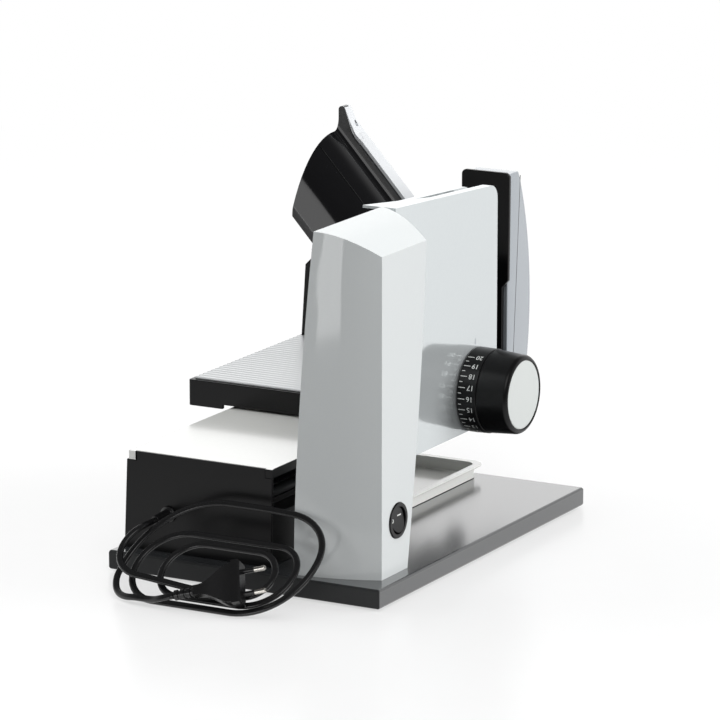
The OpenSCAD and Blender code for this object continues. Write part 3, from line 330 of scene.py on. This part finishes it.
# a face looks along an axis when that part of its normal is over this
ALONG, SKIRT = 0.7, 0.78
plate_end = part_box("bridge_top")[1][0] - 5 * MM
refinish("bridge_top", "black_plastic",
         lambda face: face.normal.x > ALONG or (face.normal.y < -ALONG and face.center.x > plate_end))
# painted shade: the board's rear-facing faces are made darker and duller
refinish("base_board", "rear_edge_shade", lambda face: face.normal.y < -ALONG)
# painted reflection: the hood's rear-facing faces are made paler
refinish("holder_hood", "hood_painted_sheen", lambda face: face.normal.y < -SKIRT)
print("second finishes on the plate, the board and the hood")

# %% [markdown]
# ## The mains lead
#
# The lead is a flat twin flex, 5.4 by 3.6 mm. It leaves the gland on the bridge straight, swings
# left, and lies behind the machine in three loops that lean on the bridge, with the plug on top. It
# could be drawn as one freehand curve. Here each loop is laid as quarters between its outermost
# points, with the widest bends that fit, so that no bend is tighter than the flex allows.

# %% The lead's marks
WIDE, THICK = 5.4, 3.6
LAYER = THICK + 1.2
LEAN = math.radians(40)
# the line where the leaning plane meets the floor, in mm from the middle of the base
FOOT_Y, FOOT_Z = -240, 1
# outermost points of the loops, as across, up the slope and off it
marks = [Vector(mark) for mark in (
    (-82, 40, 2.2 * LAYER), (8, 17.2, 0), (48, 38, 0), (-15, 59.5, 0), (-46, 31, 0), (8, 9.6, 0),
    (64, 45, 0), (-9, 67, 0), (-70, 30, 0), (8, 2.4, 0), (80, 58, 3), (12, 94, 8), (-81.5, 23, 0),
    (-50, -1, 1.45 * LAYER),
)]


def off_lean(p):
    """From the leaning plane (across, up the slope, off it), in mm, to the frame's metres."""
    y = FOOT_Y + p.y * math.cos(LEAN) - p.z * math.sin(LEAN)
    z = FOOT_Z + p.y * math.sin(LEAN) + p.z * math.cos(LEAN)
    return at(p.x, y, z)


def on_lean(x, y, z):
    """From mm at the middle of the base to the leaning plane."""
    y, z = y - FOOT_Y, z - FOOT_Z
    return Vector((x, y * math.cos(LEAN) + z * math.sin(LEAN), z * math.cos(LEAN) - y * math.sin(LEAN)))


PLUG_TURN, PLUG_TIP = math.radians(20), math.radians(2)
gland_tip = on_lean(-74, -181, 48)
gland_way = Vector((0, -math.cos(LEAN), math.sin(LEAN)))
plug_tail = Vector((-18, 3, 11.5))
plug_way = Vector((math.cos(PLUG_TURN), math.sin(PLUG_TURN), 0)) * math.cos(PLUG_TIP)
plug_way.z = math.sin(PLUG_TIP)
print(len(marks), "marks, from the gland at", [round(v, 3) for v in off_lean(gland_tip)])

# %% The lead's route
BEND_STEPS, QUARTER_STEPS = 16, 22
# share of a quarter that stays level before the lead climbs to the next mark
LEVEL = 0.2
# how far the bends at the gland and at the plug are pulled along their ends, in mm
GLAND_PULL, FIRST_PULL, LAST_PULL, PLUG_PULL = 14, 12, 16, 12


def quarter(p, q, t):
    """Point at share t from side mark p round to top or foot mark q."""
    across, along = q.x - p.x, q.y - p.y
    r = min(abs(across), abs(along))
    upright, bend = abs(along) - r, r * math.pi / 2
    s = t * (upright + bend + abs(across) - r)
    a = min(max((s - upright) / bend, 0), 1) * math.pi / 2
    return (
        p.x + math.copysign(r * (1 - math.cos(a)) + max(0, s - upright - bend), across),
        p.y + math.copysign(min(s, upright) + r * math.sin(a), along),
    )


def soft_bend(a, b, c, d):
    """Points of a Bezier curve from a to d."""
    return [
        (1 - t) ** 3 * a + 3 * (1 - t) ** 2 * t * b + 3 * (1 - t) * t * t * c + t**3 * d
        for t in (k / BEND_STEPS for k in range(BEND_STEPS + 1))
    ]


# the lead runs straight for a width and a half out of the gland, and for a width into the plug
out = gland_tip + 1.5 * WIDE * gland_way
into = plug_tail - WIDE * plug_way
over_first = marks[0] + Vector((0, FIRST_PULL, 0))
past_last = marks[-1] + Vector((LAST_PULL, 0, 0))
route = [gland_tip] + soft_bend(out, out + GLAND_PULL * gland_way, over_first, marks[0])[:-1]
for i, (p, q) in enumerate(zip(marks, marks[1:])):
    for t in (k / QUARTER_STEPS for k in range(QUARTER_STEPS)):
        x, y = quarter(p, q, t) if i % 2 == 0 else quarter(q, p, 1 - t)
        climb = max(0, (t - LEVEL) / (1 - LEVEL))
        route.append(Vector((x, y, p.z + (q.z - p.z) * climb * climb * (3 - 2 * climb))))
route += soft_bend(marks[-1], past_last, into - PLUG_PULL * plug_way, into) + [plug_tail]

# %% [markdown]
# The sheath is extruded over two cores, so its section is two rounds side by side with a shallow
# groove between them. A curve with a bevel would turn a flat section as it climbs. Here the section
# is set square to the route at every point, with its broad side kept on the leaning plane.


# %% Helpers for new pieces
def piece_of(name, mesh, body):
    """A new piece at the origin that rides on a body."""
    piece = bpy.data.objects.new(name, mesh)
    bpy.context.scene.collection.objects.link(piece)
    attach(piece, body)
    return piece


def mesh_piece(name, points, faces, body, slot, material=None):
    """A piece of given points and faces, in the slot's own finish unless another is given."""
    mesh = bpy.data.meshes.new(name)
    mesh.from_pydata([tuple(p) for p in points], [], faces)
    mesh.update()
    mesh.materials.append(material or finishes[slot])
    return piece_of(name, mesh, body)


def tube(rings):
    """Points and faces of a tube with closed ends through rings of points."""
    sides = len(rings[0])
    points = [p for ring in rings for p in ring]
    faces = [tuple(range(sides - 1, -1, -1)), tuple(range(len(points) - sides, len(points)))]
    for i in range(len(rings) - 1):
        for k in range(sides):
            a, b = sides * i + k, sides * i + (k + 1) % sides
            faces.append((a, b, b + sides, a + sides))
    return points, faces


print("helpers for new pieces ready")

# %% The lead's sheath
SIDES, GROOVE = 20, 0.3
section = []
for k in range(SIDES):
    a = 2 * math.pi * k / SIDES
    shift = math.copysign((WIDE - THICK) / 2, math.cos(a)) if abs(math.cos(a)) > 1e-6 else 0
    groove = GROOVE if abs(math.cos(a)) < 0.1 else 0
    section.append((THICK / 2 * math.cos(a) + shift, (THICK / 2 - groove) * math.sin(a)))
end_ways = {0: gland_way, len(route) - 1: plug_way}
rings = []
for i, p in enumerate(route):
    way = end_ways[i] if i in end_ways else (route[i + 1] - route[i - 1]).normalized()
    side = Vector((0, 0, 1)).cross(way).normalized()
    lift = way.cross(side)
    rings.append([off_lean(p + side * u + lift * v) for u, v in section])
lead = mesh_piece("mains_lead", *tube(rings), "machine", "cord_rubber")
lead.data.shade_smooth()
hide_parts("cord")
print("lead of", len(lead.data.polygons), "faces")

# %% [markdown]
# The plug's pins are nickel-plated brass. Half of each pin has a black sleeve, so that no live metal
# shows while the plug is being pulled. The sleeve could be a tube of its own, but it is flush with
# the pin, so one material changes from sleeve to plate at a point along the plug's axis.

# %% The plug's pins
SLEEVED = 0.52
pins = nodes["plug_pins"]
pin_way = (off_lean(plug_way) - off_lean(Vector((0, 0, 0)))).normalized()
reach = [v.co.dot(pin_way) for v in pins.data.vertices]
sleeve_end = min(reach) + SLEEVED * (max(reach) - min(reach))
# nickel plate, warm and bright, with a sleeve of black nylon
pin_metal = finish("pin_nickel", "#CFCBC4", "#DAD7D1", 0.6, (0.20, 0.28))
tree = pin_metal.node_tree
shader = tree.nodes["Principled BSDF"]
plate = shader.inputs["Base Color"].links[0].from_socket
along = add(tree, "VectorMath", DOT, i0=add(tree, "TexCoord").outputs["Object"], i1=pin_way)
bare = add(tree, "Math", {"operation": "GREATER_THAN"}, i0=along.outputs["Value"], i1=sleeve_end)
skin = add(tree, "Mix", COLOURS, i0=bare, i6=linear("#101011"), i7=plate)
tree.links.new(skin.outputs[2], shader.inputs["Base Color"])
tree.links.new(bare.outputs[0], shader.inputs["Metallic"])
pins.data.materials[0] = pin_metal
print("bare pin length:", round((max(reach) - sleeve_end) * 1000, 1), "mm")

# %% [markdown]
# ## The dial's strokes
#
# The thickness dial is printed with whole millimetres from 0 to 20 and a short stroke at each half.
# The knob turns once, less a little, for the whole travel, so a millimetre is 15.4 degrees. The
# strokes could be painted by a material, but they have to stay sharp on a small ring, and they
# repeat. So a node group places one stroke of each length round the ring.

# %% A node group for strokes
STROKE_INPUTS = ["Step", "First", "Radius", "Start", "Long", "Short", "Width", "Thick"]


def stroke_group():
    """Node group: strokes of two lengths, taking turns, round an axis along x."""
    group = bpy.data.node_groups.new("dial_strokes", "GeometryNodeTree")
    face = group.interface
    face.new_socket("Geometry", in_out="OUTPUT", socket_type="NodeSocketGeometry")
    face.new_socket("Count", in_out="INPUT", socket_type="NodeSocketInt")
    for name in STROKE_INPUTS:
        face.new_socket(name, in_out="INPUT", socket_type="NodeSocketFloat")
    face.new_socket("Material", in_out="INPUT", socket_type="NodeSocketMaterial")

    given = add(group, "NodeGroupInput").outputs
    index = add(group, "GeometryNodeInputIndex")
    spots = add(group, "GeometryNodeMeshLine", Count=given["Count"], Offset=(0, 0, 0))
    turned = add(group, "Math", TIMES, i0=index, i1=given["Step"])
    angle = add(group, "Math", PLUS, i0=turned, i1=given["First"])
    around = add(group, "CombineXYZ", X=add(group, "Math", TIMES, i0=angle, i1=-1.0))
    rearward = add(group, "Math", TIMES, i0=given["Radius"], i1=-1.0)
    odd = add(group, "Math", {"operation": "MODULO"}, i0=index, i1=2.0)
    even = add(group, "Math", {"operation": "LESS_THAN"}, i0=odd, i1=0.5)
    both = add(group, "GeometryNodeJoinGeometry")
    for length, pick in ((given["Short"], odd), (given["Long"], even)):
        size = add(group, "CombineXYZ", X=length, Y=given["Thick"], Z=given["Width"])
        half = add(group, "Math", TIMES, i0=length, i1=0.5)
        middle = add(group, "Math", PLUS, i0=given["Start"], i1=half)
        shift = add(group, "CombineXYZ", X=middle, Y=rearward)
        bar = add(group, "GeometryNodeMeshCube", Size=size)
        bar = add(group, "GeometryNodeTransform", Geometry=bar, Translation=shift)
        bars = add(group, "GeometryNodeInstanceOnPoints", Points=spots, Selection=pick, Instance=bar,
                   Rotation=around)
        group.links.new(bars.outputs[0], both.inputs[0])
    solid = add(group, "GeometryNodeRealizeInstances", i0=both)
    done = add(group, "GeometryNodeSetMaterial", i0=solid, Material=given["Material"])
    add(group, "NodeGroupOutput", i0=done)
    return group


def from_nodes(name, group, values, body, shift):
    """Runs a node group with named inputs, and keeps the result as a plain mesh at shift."""
    holder = bpy.data.objects.new(name + "_nodes", bpy.data.meshes.new(name + "_nodes"))
    bpy.context.scene.collection.objects.link(holder)
    run = holder.modifiers.new("nodes", "NODES")
    run.node_group = group
    for socket in group.interface.items_tree:
        if socket.in_out == "INPUT" and socket.name in values:
            run[socket.identifier] = values[socket.name]
    bpy.context.view_layer.update()
    made = bpy.data.meshes.new_from_object(holder.evaluated_get(bpy.context.evaluated_depsgraph_get()))
    bpy.data.objects.remove(holder)
    made.transform(Matrix.Translation(shift))
    made.name = name
    return piece_of(name, made, body)


strokes_made = stroke_group()
print("node group with", len(strokes_made.nodes), "nodes")

# %% The dial's strokes
TOP_NUMBER, STEP = 20, 15.4
# the number that faces the rear, and how many degrees up from there it stands
REAR_NUMBER, REAR_AT = 16, -0.7
DIAL_R, DIAL_Y = 34.25, 77.5
# a stroke's middle lies this far under the ring's face, so that only a film stands proud
STROKE_SUNK = 0.12
dial_at = at(70.6, DIAL_Y, 114.5)
strokes = from_nodes("dial_strokes", strokes_made, {
    "Count": 2 * TOP_NUMBER + 1, "Step": math.radians(STEP / 2),
    "First": math.radians(REAR_AT - REAR_NUMBER * STEP), "Radius": (DIAL_R - STROKE_SUNK) * MM,
    "Start": 1.6 * MM, "Long": 5.8 * MM, "Short": 2.8 * MM, "Width": 0.6 * MM, "Thick": 0.4 * MM,
    "Material": ink}, "knob", dial_at)
print("dial strokes:", len(strokes.data.polygons), "faces")

# %% [markdown]
# ## The dial's numbers
#
# The numbers are pad-printed on a ring that narrows a little towards the cap. A Curve modifier could
# bend them, but it would need a curve for each. Here each number's flat triangles are wrapped round
# the ring point by point, and lifted a tenth of a millimetre, as thick ink stands on plastic. They
# read from the front of the machine, so from behind they stand on their heads.

# %% The dial's numbers
DIGIT_H, NUMBERS_X, INK_LIFT = 4.2, 9.0, 0.12
# a digit's height as a share of the type's size, and how far its strokes are thickened
DIGIT_SHARE, BOLD = 0.7, 0.012
# the ring narrows by this much over this length, from this place along it
TAPER, TAPER_L, TAPER_X = 0.3, 15.7, 0.8


def type_shape(text, tall):
    """Flat triangles of a text, with its left end and baseline at the origin, in mm."""
    curve = bpy.data.curves.new("type", "FONT")
    curve.body = text
    curve.size = tall / DIGIT_SHARE
    curve.resolution_u = 4
    curve.offset = BOLD * tall
    holder = bpy.data.objects.new("type", curve)
    bpy.context.scene.collection.objects.link(holder)
    bpy.context.view_layer.update()
    mesh = bpy.data.meshes.new_from_object(holder.evaluated_get(bpy.context.evaluated_depsgraph_get()))
    points = [v.co.copy() for v in mesh.vertices]
    faces = [tuple(f.vertices) for f in mesh.polygons]
    bpy.data.objects.remove(holder)
    bpy.data.meshes.remove(mesh)
    left = min(p.x for p in points)
    return [Vector((p.x - left, p.y, 0)) for p in points], faces


def ring_point(x, around):
    """A point x mm along the knob and around degrees up from the rear, just over the ring's face."""
    a = math.radians(around)
    r = DIAL_R - TAPER * max(0, x - TAPER_X) / TAPER_L + INK_LIFT
    return dial_at + Vector((x, -r * math.cos(a), r * math.sin(a))) * MM


points, faces = [], []
for number in range(TOP_NUMBER + 1):
    shape, triangles = type_shape(str(number), DIGIT_H)
    wide = max(p.x for p in shape)
    middle = REAR_AT + STEP * (number - REAR_NUMBER)
    first = len(points)
    for p in shape:
        around = middle - math.degrees((p.y - DIGIT_H / 2) / DIAL_R)
        points.append(ring_point(NUMBERS_X + wide - p.x, around))
    faces += [tuple(first + i for i in f) for f in triangles]
mesh_piece("dial_numbers", points, faces, "knob", "white_plastic", ink)
print("dial numbers:", len(faces), "faces")

# %% [markdown]
# ## Marks on the panel and the switch
#
# A grey stroke on the gauge housing is the dial's pointer. The rocker carries the usual bar and ring
# for on and off. A Shrinkwrap modifier could lay the marks on. The faces under them are plain, so
# each mark is a thin patch of ink whose corners are dropped straight onto the face.


# %% Pointer and switch marks
# marks are dropped from this far to the right, and the ink stands this proud, in mm
DROP_X, INK_PROUD = 200, 0.05


def printed(name, spots, faces, node, body, colour):
    """Ink patch: spots (y, z) in mm are dropped onto a CAD piece from the right."""
    mesh = nodes[node].data
    tree = BVHTree.FromPolygons([v.co for v in mesh.vertices], [tuple(f.vertices) for f in mesh.polygons])
    points = []
    for y, z in spots:
        hit = tree.ray_cast(at(DROP_X, y, z), Vector((-1, 0, 0)))[0]
        points.append(hit + Vector((INK_PROUD * MM, 0, 0)))
    mesh_piece(name, points, faces, body, "white_plastic", colour)


def stroke_mark(y, z, wide, high, steps=6):
    """Spots and faces of an upright or level stroke in the middle of (y, z)."""
    spots = [(y + wide * (k / steps - 0.5), z + high * j) for k in range(steps + 1) for j in (-0.5, 0.5)]
    return spots, [(2 * k, 2 * k + 2, 2 * k + 3, 2 * k + 1) for k in range(steps)]


def ring_mark(y, z, outer, inner, steps=28):
    """Spots and faces of a ring in the middle of (y, z)."""
    turns = [2 * math.pi * k / steps for k in range(steps)]
    spots = [(y + r * math.cos(a), z + r * math.sin(a)) for a in turns for r in (inner, outer)]
    last = 2 * steps
    return spots, [(2 * k, 2 * k + 1, (2 * k + 3) % last, (2 * k + 2) % last) for k in range(steps)]


printed("pointer_mark", *stroke_mark(DIAL_Y, 153.5, 0.9, 5.0), "gauge_housing", "machine", grey_ink)
printed("on_mark", *stroke_mark(-121.8, 62.2, 6.0, 1.1), "switch_rocker", "rocker", ink)
printed("off_mark", *ring_mark(-132.6, 59.6, 1.7, 0.8), "switch_rocker", "rocker", ink)
print("pointer and switch marks printed")

# %% [markdown]
# ## The holder's strip
#
# The bright strip on the holder's edge goes on up the back of the finger tab, where a slot takes the
# hand strap. It is bent sheet, so it could be a plane with Solidify. The slot and the growing
# thickness are simpler to give point by point: rows run across the strip, each with a top and an
# underside, and the cells of the slot stay open.


# %% The strip's head
def slab(rows, skip=()):
    """Points and faces of a slab from rows of (top, bottom) points; cells (i, j) in skip stay open."""
    wide = len(rows[0])
    points = [p for row in rows for pair in row for p in pair]
    cells = {(i, j) for i in range(len(rows) - 1) for j in range(wide - 1)} - set(skip)
    faces = []
    for i, j in sorted(cells):
        a, b = 2 * (i * wide + j), 2 * (i * wide + j + 1)
        d, c = a + 2 * wide, b + 2 * wide
        faces += [(a, b, c, d), (d + 1, c + 1, b + 1, a + 1)]
        for there, p, q in (((i - 1, j), a, b), ((i, j + 1), b, c), ((i + 1, j), c, d), ((i, j - 1), d, a)):
            if there not in cells:
                faces.append((q, p, p + 1, q + 1))
    return points, faces


# underside of the strip in (x, z): over the tab's tip, down its back and onto the slope
under = [Vector(p) for p in (
    (-101.4, 314.1), (-99.7, 312.4), (-98.9, 310), (-97.3, 305), (-96.2, 301.6), (-95.3, 298.8),
    (-94.6, 296.5), (-93.4, 293), (-91.6, 289.3), (-89.2, 286.2), (-86.2, 283.1),
)]
# thickness and the two edges in y, at the tip, and how much each grows down to the slope
TIP_T, TIP_FRONT, TIP_REAR = 0.3, 169.1, 179.5
MORE_T, MORE_FRONT, MORE_REAR = 2.7, 2.9, 7.5
CELLS_ACROSS = 7
STRAP_SLOT = [(4, 1), (4, 2), (5, 1), (5, 2)]
rows = []
for i, p in enumerate(under):
    share = i / (len(under) - 1)
    way = (under[min(i + 1, len(under) - 1)] - under[max(i - 1, 0)]).normalized()
    top = p + Vector((-way.y, way.x)) * (TIP_T + MORE_T * share)
    front = TIP_FRONT + MORE_FRONT * share**2
    rear = TIP_REAR + MORE_REAR * share**2
    across = [rear + (front - rear) * j / CELLS_ACROSS for j in range(CELLS_ACROSS + 1)]
    rows.append([(at(top.x, y, top.y), at(p.x, y, p.y)) for y in across])
head = mesh_piece("strip_head", *slab(rows, STRAP_SLOT), "holder", "zinc")
print("strip head of", len(head.data.polygons), "faces")

# %% [markdown]
# ## Bead and joint line
#
# The hood has one fine bead along its crown, half sunk in the face, which catches a line of light.
# The handle is moulded in two shells, and their joint shows as a thin dark line. A bump in a material
# could fake both, but it would be lost from the side, so the bead is a thin tube and the joint a
# narrow slab.

# %% The hood's bead
SLOPE = math.radians(42.5)
# the hood's upper corner in mm, and its section: flat top, then a round of this radius
HOOD_X, HOOD_Y, HOOD_Z = -105.4, 172, 304
HOOD_DROP, HOOD_FLAT, HOOD_R = 6.5, 10, 88
BEAD_REACH, BEAD_R, BEAD_SIDES = 37.0, 0.6, 8
depth = HOOD_DROP + HOOD_R - math.sqrt(HOOD_R**2 - (BEAD_REACH - HOOD_FLAT) ** 2)
rings = []
for down in range(12, 146, 6):
    x = HOOD_X + down * math.sin(SLOPE) - depth * math.cos(SLOPE)
    z = HOOD_Z - down * math.cos(SLOPE) - depth * math.sin(SLOPE)
    ring = []
    for k in range(BEAD_SIDES):
        a = -2 * math.pi * k / BEAD_SIDES
        off = BEAD_R * math.cos(a)
        y = HOOD_Y - BEAD_REACH + BEAD_R * math.sin(a)
        ring.append(at(x + off * math.cos(SLOPE), y, z + off * math.sin(SLOPE)))
    rings.append(ring)
bead = mesh_piece("hood_bead", *tube(rings), "holder", "black_plastic")
bead.data.shade_smooth()
print("bead of", len(bead.data.polygons), "faces")

# %% The handle's joint line
JOINT_LOW, JOINT_HIGH, JOINT_STEPS = 106, 260, 24
# the line stands a hair proud of the handle's side and reaches into it; half its width
PROUD_X, SUNK_X, HALF_LINE = 35.06, 34.7, 0.3
# the line passes this point and leans forward with the handle
PASS_Y, PASS_Z, HANDLE_LEAN = 214, 115, math.radians(4)
rows = []
for k in range(JOINT_STEPS + 1):
    z = JOINT_LOW + (JOINT_HIGH - JOINT_LOW) * k / JOINT_STEPS
    y = PASS_Y + (z - PASS_Z) * math.tan(HANDLE_LEAN)
    rows.append([(at(PROUD_X, y + w, z), at(SUNK_X, y + w, z)) for w in (-HALF_LINE, HALF_LINE)])
joint = mesh_piece("handle_joint", *slab(rows), "carriage", "black_plastic")
print("joint line of", len(joint.data.polygons), "faces")

# %% [markdown]
# ## The floor
#
# The set is a plain packshot: a pale sheet that runs out to pure white. A large bright floor would
# throw light up into every underside, so the floor has two faces. To the camera and in reflections
# it is white and keeps the machine's shadow, and far out it is wholly white. To scattered light it is
# a grey card, and so it is in reflections beyond a line on the camera's side.


# %% The floor
def seen(tree):
    """1 for rays from the camera, mirrors and glass, 0 for scattered light."""
    path = add(tree, "LightPath").outputs
    first = add(tree, "Math", PLUS, i0=path["Is Camera Ray"], i1=path["Is Glossy Ray"])
    return add(tree, "Math", {**PLUS, "use_clamp": True}, i0=first, i1=path["Is Transmission Ray"])


def ahead(tree, low, high):
    """0 behind the machine and 1 toward the camera, with a soft step between low and high."""
    place = add(tree, "TexCoord").outputs["Object"]
    reach = add(tree, "VectorMath", DOT, i0=place, i1=(math.sin(TURN), -math.cos(TURN), 0))
    return add(tree, "MapRange", SOFT_STEP, i0=reach.outputs["Value"], i1=low, i2=high)


# reach toward the camera at which mirrors begin to see the card, in m, with a soft edge
CARD_FROM, CARD_WHOLE = 0.39, 0.43
# between these distances the sheet's own white grows from a part to the whole
FADE_FROM, FADE_WHOLE, FADE_PART = 0.5, 1.8, 0.55
# smooth white paper sheet with a soft gloss
floor_finish = finish("floor", "#F2F2F2", "#F4F4F4", 40, (0.22, 0.26))
tree = floor_finish.node_tree
own = tree.nodes["Principled BSDF"]
card = add(tree, "BsdfDiffuse", Color=linear("#808080"))
white = add(tree, "Emission", Strength=1.0)
mirrored = add(tree, "LightPath").outputs["Is Glossy Ray"]
far = add(tree, "Math", TIMES, i0=mirrored, i1=ahead(tree, CARD_FROM, CARD_WHOLE))
watched = add(tree, "Math", LESS, i0=seen(tree), i1=far)
mixed = add(tree, "MixShader", i0=watched, i1=card, i2=own)
out_from = add(tree, "VectorMath", LENGTH, i0=add(tree, "TexCoord").outputs["Object"]).outputs["Value"]
fade = add(tree, "MapRange", SOFT_STEP, i0=out_from, i1=FADE_FROM, i2=FADE_WHOLE, i3=FADE_PART, i4=1.0)
fade = add(tree, "Math", TIMES, i0=watched, i1=fade)
mixed = add(tree, "MixShader", i0=fade, i1=mixed, i2=white)
tree.links.new(mixed.outputs[0], tree.nodes["Material Output"].inputs[0])
bpy.ops.mesh.primitive_plane_add(size=12, location=(0, 0, 0))
floor = bpy.context.object
floor.name = "floor"
floor.data.materials.append(floor_finish)
print("floor laid")

# %% [markdown]
# ## The surround
#
# The camera sees plain white behind the machine. Glossy pieces need something darker to mirror, or
# they would look flat, so reflections see a white wall low down, a dark ceiling, and a dark room on
# the camera's side. As a light the surround is dim, so that the forms keep their shade.

# %% The surround
# brightness of the wall, the ceiling and the room as mirrors see them, and of all of it as a light
WALL, CEILING, ROOM, DIM = 0.92, 0.12, 0.10, 0.22
# upward part of a direction where the wall turns into the ceiling, and camera part for the room
WALL_END, CEILING_START = 0.40, 0.65
ROOM_FROM, ROOM_WHOLE = 0.05, 0.55
world = bpy.data.worlds.new("studio")
bpy.context.scene.world = world
world.use_nodes = True
tree = world.node_tree
rising = add(tree, "SeparateXYZ", i0=add(tree, "TexCoord").outputs["Object"]).outputs["Z"]
wall = add(tree, "MapRange", SOFT_STEP, i0=rising, i1=WALL_END, i2=CEILING_START, i3=WALL, i4=CEILING)
mirror_view = add(tree, "MapRange", i0=ahead(tree, ROOM_FROM, ROOM_WHOLE), i3=wall, i4=ROOM)
camera_ray = add(tree, "LightPath").outputs["Is Camera Ray"]
view = add(tree, "Math", {"operation": "MAXIMUM"}, i0=mirror_view, i1=camera_ray)
strength = add(tree, "MapRange", i0=seen(tree), i3=DIM, i4=view)
tree.links.new(strength.outputs[0], tree.nodes["Background"].inputs["Strength"])
tree.nodes["Background"].inputs["Color"].default_value = (1, 1, 1, 1)
print("surround made")

# %% [markdown]
# ## The lights
#
# Three wide banks give the faces their shades: one from above, one from the right and one from the
# left. They don't show in reflections. Three soft boxes make the reflections that the glossy faces
# show: a large one behind, one above the camera's side, and a narrow strip for the bright band on the
# tower's rear face. The camera looks past them.


# %% The lights
def bank(name, energy, angle, way):
    """A wide, far light bank that shines along way."""
    light = bpy.data.objects.new(name, bpy.data.lights.new(name, "SUN"))
    light.data.energy = energy
    light.data.angle = math.radians(angle)
    light.rotation_mode = "QUATERNION"
    light.rotation_quaternion = Vector(way).to_track_quat("-Z", "Y")
    light.visible_glossy = False
    bpy.context.scene.collection.objects.link(light)


def softbox(name, power, wide, high, place, target):
    """A soft light box of a size in metres, turned toward a target; the camera looks past it."""
    light = bpy.data.objects.new(name, bpy.data.lights.new(name, "AREA"))
    light.data.shape = "RECTANGLE"
    light.data.size = wide
    light.data.size_y = high
    light.data.energy = power
    light.location = place
    light.rotation_mode = "QUATERNION"
    light.rotation_quaternion = (Vector(target) - Vector(place)).to_track_quat("-Z", "Y")
    light.visible_camera = False
    bpy.context.scene.collection.objects.link(light)


bank("overhead_bank", 0.95, 60, (-0.15, 0.15, -1))
bank("side_bank", 2.6, 40, (-1, -0.6, -0.3))
bank("left_bank", 1.3, 50, (0.85, 0, -0.5))
softbox("back_box", 11.5, 3.2, 2.4, (-1.3, 2.4, 1.35), (0, 0, 0.3))
softbox("fill_strip", 0.58, 0.29, 0.2, (0.015, -1.0, 0.1), (0.085, -0.2, 0.1))
softbox("top_box", 12, 1.2, 1.4, (1.2, -1.4, 1.65), (0, 0, 0.15))
bpy.context.scene.view_settings.view_transform = "Standard"
print("set lit")
